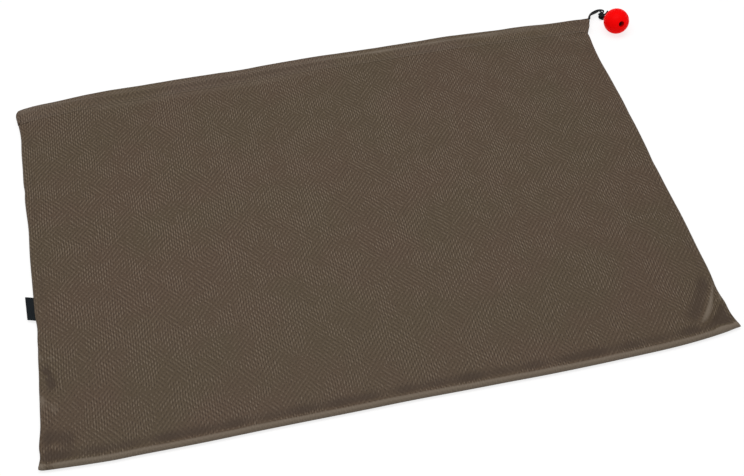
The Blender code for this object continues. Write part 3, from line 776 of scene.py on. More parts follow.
def float_material(name, settings):
    """Moulded plastic with a painted glow that brightens it, painted shade darkening its hole, soft orange
    peel and faint scuffs.
    """
    material, nodes = new_material(name, Roughness=0.5, Specular_IOR_Level=0.03,
                                   Emission_Strength=settings.painted_glow)
    where = nodes.make("ShaderNodeTexCoord", {})["Object"]
    peel = nodes.noise(where, 900.0, 2.0)
    scuff = nodes.noise(nodes.place(where, scale=(1.0, 1.0, 4.0)), 130.0, 4.0, 0.65)
    tone = nodes.shades(nodes.ramp(scuff, 0.58, 0.75, 0.0, 0.25), settings.ball_colour, 1.0, 0.8)
    # Painted shade: the relief darkens the wall of the hole
    tone = nodes.mix(nodes.ramp(nodes.relief(), 0.0, -1.0, 0.0, 0.75), tone, rgb(settings.ball_colour, 0.25))
    # Painted glow: the ball sends out its own colour as light, to brighten it
    nodes.plug(nodes.shader.inputs["Emission Color"], tone)
    rough = nodes.ramp(scuff, 0.5, 0.75, 0.44, 0.6)
    nodes.finish(tone, nodes.bump(peel, 0.04 * MM, 0.25), rough)
    return material


def floor_material(stage):
    """White to the camera with the sack's soft shadow, and a plain pale surface to all other light."""
    material = bpy.data.materials.new("pale_floor")
    material.use_nodes = True
    material.node_tree.nodes.clear()
    nodes = Nodes(material.node_tree)
    plain = nodes.add("ShaderNodeBsdfDiffuse", (0.80, 0.80, 0.80, 1.0))
    shadow = nodes.add("ShaderNodeBsdfDiffuse", (stage.shadow_share,) * 3 + (1.0,))
    glow = nodes.add("ShaderNodeEmission", WHITE, stage.floor_glow)
    lit = nodes.add("ShaderNodeAddShader", shadow, glow)
    both = nodes.add("ShaderNodeMixShader", nodes.seen(), plain, lit)
    nodes.make("ShaderNodeOutputMaterial", {"Surface": both})
    return material


# Repeated stitches, made by Geometry Nodes

def stitch_tree(name, wraps):
    """Node group that lays stitches along a line: arched ones in it, or rings that wrap round it."""
    tree = bpy.data.node_groups.new(name, "GeometryNodeTree")
    face = tree.interface
    face.new_socket("Geometry", in_out="INPUT", socket_type="NodeSocketGeometry")
    for label in ("Spacing", "Length", "Height", "Thread radius", "Slant"):
        face.new_socket(label, in_out="INPUT", socket_type="NodeSocketFloat")
    face.new_socket("Material", in_out="INPUT", socket_type="NodeSocketMaterial")
    face.new_socket("Geometry", in_out="OUTPUT", socket_type="NodeSocketGeometry")
    make = Nodes(tree).make
    given = make("NodeGroupInput", {})
    curve = make("GeometryNodeMeshToCurve", {"Mesh": given["Geometry"]})["Curve"]
    points = make("GeometryNodeCurveToPoints", {"Curve": curve, "Length": given["Spacing"]}, mode="LENGTH")
    half = make("ShaderNodeMath", {0: given["Length"], 1: 0.5}, operation="MULTIPLY")[0]
    thread = make("GeometryNodeCurvePrimitiveCircle", {"Resolution": 5, "Radius": given["Thread radius"]})
    if wraps:
        ring = make("GeometryNodeCurvePrimitiveCircle", {"Resolution": 10, "Radius": 1.0})["Curve"]
        size = make("ShaderNodeCombineXYZ", {"X": given["Height"], "Y": half, "Z": 1.0})[0]
        turned = make("ShaderNodeCombineXYZ", {"Y": math.radians(90), "Z": given["Slant"]})[0]
        placed = {"Geometry": ring, "Scale": size, "Rotation": turned}
        spine = make("GeometryNodeTransform", placed)["Geometry"]
    else:
        back = make("ShaderNodeMath", {0: given["Length"], 1: -0.5}, operation="MULTIPLY")[0]
        arch = {"Resolution": 6, "Start": make("ShaderNodeCombineXYZ", {"X": back})[0],
                "Middle": make("ShaderNodeCombineXYZ", {"Y": given["Slant"], "Z": given["Height"]})[0],
                "End": make("ShaderNodeCombineXYZ", {"X": half})[0]}
        spine = make("GeometryNodeCurveQuadraticBezier", arch)["Curve"]
    swept = {"Curve": spine, "Profile Curve": thread["Curve"], "Fill Caps": not wraps}
    stitch = make("GeometryNodeCurveToMesh", swept)["Mesh"]
    aim = make("FunctionNodeAlignRotationToVector", {"Vector": points["Tangent"]}, axis="X", pivot_axis="Z")
    spread = {"Points": points["Points"], "Instance": stitch, "Rotation": aim["Rotation"]}
    copies = make("GeometryNodeInstanceOnPoints", spread)["Instances"]
    real = make("GeometryNodeRealizeInstances", {"Geometry": copies})["Geometry"]
    shaded = make("GeometryNodeSetShadeSmooth", {"Geometry": real})["Geometry"]
    painted = make("GeometryNodeSetMaterial", {"Geometry": shaded, "Material": given["Material"]})
    make("NodeGroupOutput", {"Geometry": painted["Geometry"]})
    return tree


def stitch_row(name, route, material, spacing, length, height, radius, slant=0.0, wraps=False):
    """One row of stitches along a route, as a plain mesh."""
    line = bpy.data.meshes.new(name + "_line")
    line.from_pydata([tuple(p) for p in route], [(k, k + 1) for k in range(len(route) - 1)], [])
    host = add_object(name + "_line", line)
    group_name = "wrapping_stitches" if wraps else "running_stitches"
    tree = bpy.data.node_groups.get(group_name) or stitch_tree(group_name, wraps)
    modifier = host.modifiers.new("stitches", "NODES")
    modifier.node_group = tree
    values = {"Spacing": spacing, "Length": length, "Height": height, "Thread radius": radius,
              "Slant": slant, "Material": material}
    for item in tree.interface.items_tree:
        if item.item_type == "SOCKET" and item.in_out == "INPUT" and item.name in values:
            modifier[item.identifier] = values[item.name]
    graph = bpy.context.evaluated_depsgraph_get()
    mesh = bpy.data.meshes.new_from_object(host.evaluated_get(graph))
    mesh.name = name
    if not len(mesh.polygons):
        raise RuntimeError(name + ": the stitches came out empty")
    if not mesh.materials:
        mesh.materials.append(material)
    bpy.data.objects.remove(host, do_unlink=True)
    return close_up(add_object(name, mesh), sharp=60)


# Round cords

def smooth_route(points, count):
    """Points at equal steps along a smooth curve through the route's own points."""
    points = [Vector(p) for p in points]
    ends = [2 * points[0] - points[1], *points, 2 * points[-1] - points[-2]]
    fine = []
    for p0, p1, p2, p3 in zip(ends, ends[1:], ends[2:], ends[3:]):
        for k in range(16):
            t = k / 16
            fine.append(0.5 * (2 * p1 + (p2 - p0) * t + (2 * p0 - 5 * p1 + 4 * p2 - p3) * t ** 2
                               + (3 * p1 - p0 - 3 * p2 + p3) * t ** 3))
    fine = np.array([*fine, points[-1]])
    length = lengths_along(fine)
    at = np.linspace(0, length[-1], count)
    return np.stack([np.interp(at, length, fine[:, k]) for k in range(3)], 1)


def cord_tube(name, route, sides, share=1.0, relief=BRAID_RELIEF, taper=0.0):
    """Cord along a route at a share of its thickness, woven, with a map in metres round and along it."""
    cord = settings("cord")
    radius = share * cord.diameter / 2
    route = np.asarray(route, float)
    tangents = np.gradient(route, axis=0)
    tangents /= np.linalg.norm(tangents, axis=1, keepdims=True)
    side = np.cross(tangents[0], (0.0, 0.0, 1.0) if abs(tangents[0][2]) < 0.9 else (1.0, 0.0, 0.0))
    frames = []
    for tangent in tangents:
        side = side - tangent * (side @ tangent)
        side /= np.linalg.norm(side)
        frames.append((side, np.cross(tangent, side)))
    length = lengths_along(route)
    angles = np.linspace(0, TURN, sides, endpoint=False)
    points, uv = [], []
    for place, (a, b), at in zip(route, frames, length):
        woven = np.cos(cord.strands * angles) * math.cos(TURN * at / cord.braid_pitch)
        size = radius * (1 + relief * (woven - 0.4))
        end = min(at, length[-1] - at)
        if taper and end < taper:
            size = size * math.sqrt(max(1 - (1 - end / taper) ** 2, 0.02))
        points.append(place + size[:, None] * (np.cos(angles)[:, None] * a + np.sin(angles)[:, None] * b))
        uv.append(np.stack([angles * radius, np.full(sides, at)], 1))
    faces = capped_faces(len(route), sides)
    return close_up(new_piece(name, points, faces, finish("braided_cord"), uv))


def knot_route(size, turned=0.0):
    """Closed overhand knot, turned in its own plane and squeezed into a box of the given size."""
    t = np.linspace(0, TURN, 150)
    line = np.stack([np.sin(t) + 2 * np.sin(2 * t), np.cos(t) - 2 * np.cos(2 * t), -np.sin(3 * t)], 1)
    c, s = math.cos(turned), math.sin(turned)
    line = line @ np.array(((c, s, 0), (-s, c, 0), (0, 0, 1)))
    low, high = line.min(0), line.max(0)
    return (line - (low + high) / 2) / (high - low) * np.array(size)


# Settings that a user would change

class FishSackCloth(PropertyGroup):
    thickness: FloatProperty(name="Thickness", description="Thickness of one layer of cloth",
                             default=0.5 * MM, min=0.2 * MM, max=0.9 * MM, unit="LENGTH")
    hole_pitch: FloatProperty(name="Hole pitch", description="Distance between holes along a row",
                              default=7.25 * MM, unit="LENGTH")
    row_pitch: FloatProperty(name="Row pitch", description="Distance between rows of holes",
                             default=4.2 * MM, unit="LENGTH")
    mesh_step: FloatProperty(name="Mesh step", description="Size of the mesh's faces in the middle",
                             default=5.5 * MM, unit="LENGTH")
    sag: FloatProperty(name="Sag", description="How far the upper side sinks and waves in the middle",
                       default=0.9 * MM, unit="LENGTH")
    colour: FloatVectorProperty(name="Colour", description="Mean colour of the cloth", subtype="COLOR",
                                default=(0.0960, 0.0635, 0.0412), min=0, max=1)
    second_colour: FloatVectorProperty(name="Second colour", description="Greener brown of some patches",
                                       subtype="COLOR", default=(0.0905, 0.0650, 0.0395), min=0, max=1)
    # Painted yarn highlights and painted shade between the yarns, on the knit's own pattern
    yarn_highlight_colour: FloatVectorProperty(name="Light flecks", description="Colour of the raised yarns",
                                      subtype="COLOR", default=(0.270, 0.210, 0.155), min=0, max=1)
    yarn_shade_colour: FloatVectorProperty(name="Dark flecks", description="Colour between the yarns",
                                     subtype="COLOR", default=(0.030, 0.019, 0.013), min=0, max=1)
    # Painted highlight on raised folds and painted shade in the folds' hollows, laid on by the relief
    crest_highlight_colour: FloatVectorProperty(name="Crest colour", description="Worn sheen along raised folds",
                                      subtype="COLOR", default=(0.228, 0.184, 0.140), min=0, max=1)
    valley_shade_colour: FloatVectorProperty(name="Valley colour", description="Depth of colour in the folds",
                                       subtype="COLOR", default=(0.052, 0.034, 0.023), min=0, max=1)
    fleck: FloatProperty(name="Flecks", description="Strength of the light and dark flecks",
                         default=0.55, min=0, max=1, subtype="FACTOR")
    # How strong the painted highlight on raised folds and the painted shade in hollows are
    crest_highlight_share: FloatProperty(name="Crest wear", description="How far raised folds turn lighter",
                              default=0.75, min=0, max=1, subtype="FACTOR")
    valley_shade: FloatProperty(name="Valley shade", description="How far the folds turn darker",
                                default=0.75, min=0, max=1, subtype="FACTOR")


class FishSackHem(PropertyGroup):
    colour: FloatVectorProperty(name="Colour", description="Colour of the doubled cloth", subtype="COLOR",
                                default=(0.1135, 0.0785, 0.0550), min=0, max=1)
    stitch_length: FloatProperty(name="Stitch length", description="Length of one stitch",
                                 default=3.0 * MM, unit="LENGTH")
    stitch_pitch: FloatProperty(name="Stitch pitch", description="Distance between stitches",
                                default=3.6 * MM, unit="LENGTH")
    thread_radius: FloatProperty(name="Thread radius", description="Radius of the sewing thread",
                                 default=0.24 * MM, unit="LENGTH")
    edging_pitch: FloatProperty(name="Edging pitch", description="Distance between turns of the edging",
                                default=3.2 * MM, unit="LENGTH")
    tack_turns: IntProperty(name="Tack turns", description="Turns of thread in the bar tack", default=15)
    thread_colour: FloatVectorProperty(name="Thread colour", description="Colour of the sewing thread",
                                       subtype="COLOR", default=(0.085, 0.060, 0.041), min=0, max=1)


class FishSackCord(PropertyGroup):
    diameter: FloatProperty(name="Diameter", description="Diameter of the drawcord",
                            default=CORD_DIAMETER, unit="LENGTH")
    strands: IntProperty(name="Strands", description="Strands in each direction of the braid", default=8)
    braid_pitch: FloatProperty(name="Braid pitch", description="Length of one crossing of the braid",
                               default=1.9 * MM, unit="LENGTH")
    cord_colour: FloatVectorProperty(name="Colour", description="Colour of the cord", subtype="COLOR",
                                     default=(0.0065, 0.0065, 0.0072), min=0, max=1)


class FishSackLabel(PropertyGroup):
    tape_thickness: FloatProperty(name="Tape thickness", description="Thickness of the folded tape",
                                  default=0.38 * MM, unit="LENGTH")
    droop: FloatProperty(name="Droop", description="How far the label's fold hangs down",
                         default=1.1 * MM, unit="LENGTH")
    slant: FloatProperty(name="Slant", description="How far the fold sits towards the mouth from the root",
                         default=4.5 * MM, unit="LENGTH")
    overhang: FloatProperty(name="Overhang", description="How much further the upper corner stands out",
                            default=1.4 * MM, unit="LENGTH")
    tape_colour: FloatVectorProperty(name="Colour", description="Colour of the bare tape", subtype="COLOR",
                                     default=(0.0050, 0.0072, 0.0092), min=0, max=1)


class FishSackFloat(PropertyGroup):
    hole_rounding: FloatProperty(name="Hole rounding", description="Radius of the hole's softened edge",
                                 default=0.4 * MM, unit="LENGTH")
    ball_colour: FloatVectorProperty(name="Colour", description="Colour of the float", subtype="COLOR",
                                     default=(1.0, 0.0015, 0.0018), min=0, max=1)
    # A painted glow that brightens the ball, though it is no lamp
    painted_glow: FloatProperty(name="Fluorescence", description="Light that the bright pigment adds",
                                default=0.13, min=0, max=1, subtype="FACTOR")


class FishSackStage(PropertyGroup):
    lens: FloatProperty(name="Lens", description="Focal length of the camera", default=53.18, unit="CAMERA")
    overhead: FloatProperty(name="Overhead light", description="Power of the soft light above",
                            default=22.0, min=0, unit="POWER")
    around: FloatProperty(name="Light around", description="Strength of the even light from all sides",
                          default=0.42, min=0)
    shadow_share: FloatProperty(name="Shadow share", description="Share of the floor's white that shadows "
                                "can take away", default=0.30, min=0, max=1, subtype="FACTOR")
    floor_glow: FloatProperty(name="Floor glow", description="Plain white that the floor always shows",
                              default=0.78, min=0, max=1)


SETTINGS = {"fish_sack_cloth": FishSackCloth, "fish_sack_hem": FishSackHem, "fish_sack_cord": FishSackCord,
            "fish_sack_label": FishSackLabel, "fish_sack_float": FishSackFloat,
            "fish_sack_stage": FishSackStage}


def settings(kind):
    return getattr(bpy.context.scene, "fish_sack_" + kind)


def finish(name):
    """The named material, made the first time that it is asked for."""
    cloth, hem = settings("cloth"), settings("hem")
    makers = {
        "knitted_cloth": lambda: mesh_cloth_material(name, cloth, cloth.colour),
        "doubled_cloth": lambda: mesh_cloth_material(name, cloth, hem.colour, 1.15),
        "twisted_thread": lambda: thread_material(name, hem),
        "braided_cord": lambda: cord_material(name, settings("cord")),
        "woven_tape": lambda: label_material(name, settings("label")),
        "float_plastic": lambda: float_material(name, settings("float")),
    }
    return bpy.data.materials.get(name) or makers[name]()


def gather(piece, slot, *nodes):
    """Hide the nodes that a cloth piece replaces, and keep the piece where it stands."""
    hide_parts(*nodes)
    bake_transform(piece)
    return piece


def place_on(piece, body, slot, *nodes):
    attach(piece, body)
    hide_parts(*nodes)
    return piece


# One operator for each piece, or group of like pieces

class FISHSACK_OT_stage(Operator):
    """Camera, lights, world and a pale floor"""
    bl_idname = "fishsack.stage"
    bl_label = "Stage"

    def execute(self, context):
        stage = settings("stage")
        scene = context.scene
        scene.view_settings.view_transform = "Standard"
        data = bpy.data.cameras.new("camera")
        data.lens = stage.lens
        data.sensor_width = SENSOR_WIDTH
        camera = add_object("camera", data)
        turn = Matrix((CAMERA_RIGHT, CAMERA_UP, CAMERA_BACK)).transposed().to_quaternion()
        camera.matrix_world = Matrix.Translation(CAMERA_PLACE) @ turn.to_matrix().to_4x4()
        scene.camera = camera
        lamp = bpy.data.lights.new("overhead", "AREA")
        lamp.shape = "RECTANGLE"
        lamp.size, lamp.size_y = LAMP_SIZE
        lamp.energy = stage.overhead
        overhead = add_object("overhead", lamp)
        overhead.location = LAMP_PLACE
        overhead.rotation_euler = (LAMP_TILT, 0.0, 0.0)
        self.make_world(scene, stage)
        bpy.ops.mesh.primitive_plane_add(size=FLOOR_SIZE, location=(0.0, 0.0, -FLOOR_DROP))
        floor = context.active_object
        floor.name = "floor"
        floor.data.materials.append(floor_material(stage))
        return {"FINISHED"}

    def make_world(self, scene, stage):
        world = bpy.data.worlds.new("plain_studio")
        scene.world = world
        world.use_nodes = True
        world.node_tree.nodes.clear()
        nodes = Nodes(world.node_tree)
        light = nodes.add("ShaderNodeBackground", WHITE, stage.around)
        white = nodes.add("ShaderNodeBackground", WHITE, 1.0)
        both = nodes.add("ShaderNodeMixShader", nodes.seen(), light, white)
        nodes.make("ShaderNodeOutputWorld", {"Surface": both})


class FISHSACK_OT_cloth(Operator):
    """The two cloth sides and the three rolled seams, cut from one master grid so that they meet"""
    bl_idname = "fishsack.cloth"
    bl_label = "Cloth sides and seams"

    def execute(self, context):
        cloth = settings("cloth")
        x, y, inset = body_grid(cloth.mesh_step)
        top_z, low_z, relief = body_surfaces(x, y, inset, cloth.sag)
        top = np.stack([x, y, top_z], -1)
        low = np.stack([x, y, low_z], -1)
        flat = np.stack([x, y], -1)
        k = SEAM_STATION
        material = finish("knitted_cloth")
        middle = (slice(k, -k), slice(k, None))
        top_normals = grid_normals(top)
        low_normals = grid_normals(low)
        front = thin_shell("front_cloth", top[middle], (top - top_normals * cloth.thickness)[middle],
                           flat[middle], relief[middle], material)
        back = thin_shell("back_cloth", low[middle], (low + low_normals * cloth.thickness)[middle],
                          flat[middle], 0 * relief[middle], material)
        strips = (
            ("left", "left_side_seam", (slice(0, k + 1), slice(k, None)), 0, 1),
            ("right", "right_side_seam", (slice(-k - 1, None), slice(k, None)), 0, -1),
            ("bottom", "bottom_seam", (slice(None), slice(0, k + 1)), 1, 1),
        )
        for side, node, cut, axis, inward in strips:
            strip = [grid[cut][::inward] for grid in (top, low, relief)]
            if side != "bottom":
                strip = [np.swapaxes(grid, 0, 1) for grid in strip]
            upper, lower, tint = strip
            uv = strip_uv(upper, upper[:, -1:, axis], axis, inward)
            gather(seam_roll(side + "_roll", upper, lower, uv, tint, material), "mesh_cloth", node)
        gather(front, "mesh_cloth", "front_panel")
        gather(back, "mesh_cloth", "back_panel")
        return {"FINISHED"}


def hem_grids(base_z, run, seed, thickness):
    """Outer and inner skins of a hem, with the weave map and relief of the outer one."""
    xs = np.linspace(HEM_LEFT_X, HEM_RIGHT_X, 190)[:, None]
    around = np.array(HEM_TOP_STATIONS + HEM_LOW_STATIONS)[None, :]
    upper = np.arange(around.shape[1])[None, :] < len(HEM_TOP_STATIONS)
    slant = HEM_END_SLANT * (around / HEM_DEPTH) ** 2.2
    x = xs - slant * smooth((xs - SLANT_FROM_X) / (HEM_RIGHT_X - SLANT_FROM_X))
    d = around + 0 * xs
    cord_y = cord_line(run, x)
    top, low = hem_surfaces(x, d, cord_y, seed)
    z = base_z + np.where(upper, top, low)
    edge = MOUTH_EDGE(x) - FOLD_INSET
    outer = np.stack([x, edge - d, z], -1)
    inner_d = HOLLOW_FROM + d * HOLLOW_SHARE
    top_in, low_in = hem_surfaces(x, inner_d, cord_y, seed)
    top_in = np.maximum(top_in - thickness, low_in + thickness + LEAST_HOLLOW)
    low_in = np.minimum(low_in + thickness, top_in - LEAST_HOLLOW)
    inner = np.stack([x, edge - inner_d, base_z + np.where(upper, top_in, low_in)], -1)
    uv = np.stack([x, edge - FLANGE_TIP + lengths_along(outer, 1)], -1)
    # Painted light: the fold's crest is painted lighter as a highlight, darker near the right end, and the
    # groove darker as painted shade
    crest, crest_at, groove = hem_highlight_and_groove(x)
    crest = crest * (1 + 0.25 * wander(x, (0.09, 0.05, 0.2), seed + 7))
    relief = crest * bell((d - crest_at) / (6.5 * MM)) - groove * bell((d - GROOVE_AT) / GROOVE_HALF)
    # Painted highlight along the flange tip, to lighten the shadow at its edge
    relief = np.where(upper, relief + 0.55 * bell((d - FLANGE_TIP) / (1.6 * MM)), 0)
    return outer, inner, uv, relief


class FISHSACK_OT_hems(Operator):
    """The hollow hem on each side of the mouth, and the cloth end that joins them on the left"""
    bl_idname = "fishsack.hems"
    bl_label = "Corded hems"

    def execute(self, context):
        thickness = settings("cloth").thickness
        material = finish("doubled_cloth")
        for side, base_z, run, seed in (("front", FRONT_HEM_Z, FRONT_RUN, FRONT_SEED),
                                        ("back", 0.0, BACK_RUN, BACK_SEED)):
            outer, inner, uv, relief = hem_grids(base_z, run, seed, thickness)
            hem = hollow_tube(side + "_hem", outer, inner, uv, relief, material)
            gather(hem, "tunnel_cloth", side + "_cord_tunnel")
        gather(self.make_corner(thickness, material), "tunnel_cloth", "left_tunnel_corner")
        return {"FINISHED"}

    def make_corner(self, thickness, material):
        """Pouch that closes the hems' left end round the cord's turn."""
        middle = STACK_HEIGHT / 2
        reach = HEM_LEFT_X - CORNER_LEFT_X
        share = (1 - np.cos(np.linspace(0, math.pi, 27))) / 2
        end = (1 - np.abs(2 * share - 1) ** 5) ** 0.2
        cord_y = cord_line(FRONT_RUN, HEM_LEFT_X)
        skins = []
        for wall in (0.0, thickness):
            rows = []
            for angle in np.linspace(0, math.pi / 2, 15):
                middle_x = HEM_LEFT_X - (reach - wall) * math.sin(angle)
                past = max(0.0, CORNER_LEFT_X + CORNER_PLAN_RADIUS - middle_x) / CORNER_PLAN_RADIUS
                near = CORNER_PLAN_RADIUS * (1 - math.sqrt(max(0.0, 1 - past ** 2))) + wall
                far = HEM_DEPTH - wall
                d = far + (near - far) * share
                top, _ = hem_surfaces(np.full_like(d, HEM_LEFT_X), d, cord_y, FRONT_SEED)
                crown = np.maximum(FRONT_HEM_Z + top, STACK_HEIGHT - CORNER_DROP) - middle - wall
                z_top = middle + crown * end * math.cos(angle)
                z_low = middle - (middle - wall) * end * math.cos(angle)
                past_start = (d - CORNER_TAPER_FROM) / (HEM_DEPTH - CORNER_TAPER_FROM)
                taper = 1 - CORNER_TAPER * np.clip(past_start, 0, 1)
                x = HEM_LEFT_X - (reach * taper - wall) * math.sin(angle)
                y = MOUTH_EDGE(x) - FOLD_INSET - d
                rows.append(np.concatenate([np.stack([x, y, z_top], -1),
                                            np.stack([x, y, z_low], -1)[-2:0:-1]]))
            skins.append(np.array(rows))
        outer, inner = skins
        arc = lengths_along(outer)
        uv = np.stack([HEM_LEFT_X - arc, outer[0:1, :, 1] + 0 * arc], -1)
        return hollow_tube("mouth_corner", outer, inner, uv, np.zeros(outer.shape[:2]), material,
                           both_ends=False)


class FISHSACK_OT_allowances(Operator):
    """Raw edges of the seams inside the sack, each wrapped in its edging thread"""
    bl_idname = "fishsack.allowances"
    bl_label = "Seam allowances"

    def execute(self, context):
        hem = settings("hem")
        material, thread = finish("knitted_cloth"), finish("twisted_thread")
        sides = (("left", LEFT_EDGE, 1, 1, 110), ("right", RIGHT_EDGE, 1, -1, 110),
                 ("bottom", BOTTOM_EDGE, 0, 1, 160))
        for side, edge, axis, inward, count in sides:
            low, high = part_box(side + "_seam_allowance")
            along = np.linspace(low[axis], high[axis], count)
            offsets = SEAM_WIDTH + ALLOWANCE_GAP + np.linspace(0, ALLOWANCE_WIDTH, 6)
            across = edge(along)[:, None] + inward * offsets[None, :]
            wave = 0.06 * MM * wander(along, (0.03, 0.047, 0.022), 41)[:, None]
            wave = wave * smooth((offsets - offsets[0]) / (8 * MM))[None, :]
            rows = along[:, None] + 0 * across
            upper, lower = (beside(axis, rows, across, z + wave) for z in (ALLOWANCE_TOP_Z, ALLOWANCE_LOW_Z))
            strip = thin_shell(side + "_allowance", upper, lower, upper[..., :2], 0 * rows, material)
            gather(strip, "mesh_cloth", side + "_seam_allowance")
            centre = across[:, -1] - inward * EDGING_INSET
            route = beside(axis, along, centre, np.full_like(along, EDGING_Z))
            edging = stitch_row(side + "_edging", route, thread, hem.edging_pitch, EDGING_LENGTH,
                                EDGING_HALF_HEIGHT, 0.8 * hem.thread_radius, EDGING_SLANT, wraps=True)
            gather(edging, "sewing_thread", side + "_edging_thread")
        return {"FINISHED"}


class FISHSACK_OT_stitches(Operator):
    """Stitch lines that close the hems, and the bar tack that joins them at the cord's exit"""
    bl_idname = "fishsack.stitches"
    bl_label = "Hem stitches and bar tack"

    def execute(self, context):
        hem = settings("hem")
        thread = finish("twisted_thread")
        for side, base_z in (("front", FRONT_HEM_Z), ("back", 0.0)):
            low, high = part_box(side + "_tunnel_thread")
            xs = np.linspace(low.x + 1 * MM, high.x - 1 * MM, 300)
            ys = MOUTH_EDGE(xs) - STITCH_AT
            route = np.stack([xs, ys, np.full_like(xs, base_z + STITCH_Z)], 1)
            row = stitch_row(side + "_hem_stitches", route, thread, hem.stitch_pitch, hem.stitch_length,
                             STITCH_HEIGHT, hem.thread_radius)
            gather(row, "sewing_thread", side + "_tunnel_thread")
        low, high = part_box("exit_bar_tack")
        middle = (low + high) / 2
        span = high.x - low.x - 1.5 * MM
        start = low.x - 2 * MM
        route = [(start + span * k / 40, middle.y + 2 * MM, middle.z) for k in range(41)]
        half_height = (high.z - low.z) / 2 + 0.35 * MM
        tack = stitch_row("bar_tack", route, thread, span / hem.tack_turns, TACK_LENGTH, half_height,
                          1.1 * hem.thread_radius, TACK_SLANT, wraps=True)
        gather(tack, "sewing_thread", "exit_bar_tack")
        return {"FINISHED"}


class FISHSACK_OT_label(Operator):
    """Bare folded tape in the left seam"""
    bl_idname = "fishsack.label"
    bl_label = "Side label"

    def execute(self, context):
        label = settings("label")
        low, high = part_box("side_label")
        middle_z = (low.z + high.z) / 2
        radius = (high.z - low.z) / 2
        slant = label.slant
        ys = np.linspace(low.y + slant / 2, high.y - slant / 2, 61)
        reach = high.x - low.x
        inner = self.fold(reach - radius, radius - label.tape_thickness)
        section = np.array(self.fold(reach - radius, radius) + inner[::-1])
        arc = lengths_along(section)
        points, uv = [], []
        for y in ys:
            share = (y - ys[0]) / (ys[-1] - ys[0])
            bend = label.droop * (0.75 + 0.35 * math.sin(2.6 * share + 0.4))
            lift = -bend * (section[:, 0] / reach) ** 2
            ends = bell(share / LABEL_CORNER_SHARE) + bell((1 - share) / LABEL_CORNER_SHARE)
            root = float(LEFT_EDGE(y)) + LABEL_ROOT_INSET
            outer = low.x - label.overhang * share
            x = root + section[:, 0] * (root - outer) * (1 - LABEL_CORNER * ends / reach) / reach
            slanted = y - slant * (section[:, 0] / reach + 0.5)
            points.append(np.stack([x, slanted, middle_z + lift + section[:, 1]], 1))
            uv.append(np.stack([arc, np.full(len(x), y)], 1))
        faces = capped_faces(len(ys), len(section))
        piece = new_piece("folded_label", points, faces, finish("woven_tape"), uv)
        close_up(piece)
        place_on(piece, "label", "label_tape", "side_label")
        return {"FINISHED"}

    def fold(self, reach, half):
        """Section of a folded sheet: out along its upper ply, round the fold and back along the lower."""
        out = np.linspace(0, 1, 15)
        turn = np.linspace(math.pi / 2, 3 * math.pi / 2, 9)[1:-1]
        upper = [(-t * reach, half) for t in out]
        lower = [(-t * reach, -half) for t in out[::-1]]
        return upper + [(half * math.cos(a) - reach, half * math.sin(a)) for a in turn] + lower


class FISHSACK_OT_drawcord(Operator):
    """The cord's long loop in the hems, its two free tails and the trimmed end"""
    bl_idname = "fishsack.drawcord"
    bl_label = "Drawcord"

    def execute(self, context):
        diameter = settings("cord").diameter
        loop = cord_tube("cord_loop", self.loop_route(), 14, relief=0.0)
        place_on(loop, "drawcord", "black_cord", "drawcord_loop")
        knot_face = centre_of("drawcord_knot") + Vector((0, size_of("drawcord_knot").y / 2, 0))
        tails = (("front", FRONT_RUN, FRONT_TAIL_FROM_EXIT, FRONT_TAIL_TO_KNOT, FRONT_TAIL_LENGTH),
                 ("back", BACK_RUN, BACK_TAIL_FROM_EXIT, BACK_TAIL_TO_KNOT, BACK_TAIL_LENGTH))
        for side, run, from_exit, to_knot, length in tails:
            start = run + Vector((TOUCH_GAP, 0, 0))
            points = [start] + [start + Vector(step) for step in from_exit]
            points += [knot_face + Vector(step) for step in to_knot]
            route = smooth_route(points, 160)
            tail = cord_tube(side + "_tail", route, 24)
            place_on(tail, "drawcord", "black_cord", side + "_cord_tail")
        centre = centre_of("drawcord_knot")
        route = smooth_route([centre + Vector(step) for step in FREE_END], 46)
        end = cord_tube("trimmed_end", route, 24, taper=0.5 * MM)
        place_on(end, "drawcord", "black_cord", "knot_free_end")
        return {"FINISHED"}

    def loop_route(self):
        """Along the front hem, round its left end, and back along the back hem."""
        middle = (FRONT_RUN + BACK_RUN) / 2
        sideways = (FRONT_RUN - BACK_RUN).normalized()
        turn = (FRONT_RUN - BACK_RUN).length / 2
        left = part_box("drawcord_loop")[0].x + CORD_DIAMETER / 2 + turn + CORD_END_INSET
        xs = np.linspace(FRONT_RUN.x, left, 200)[:-1]
        route = [(x, cord_line(FRONT_RUN, x), FRONT_RUN.z) for x in xs]
        for angle in np.linspace(0, math.pi, 33):
            point = Vector((left, cord_line(middle, left), middle.z)) + turn * math.cos(angle) * sideways
            point.x -= turn * math.sin(angle)
            route.append(tuple(point))
        return route + [(x, cord_line(BACK_RUN, x), BACK_RUN.z) for x in xs[::-1]]


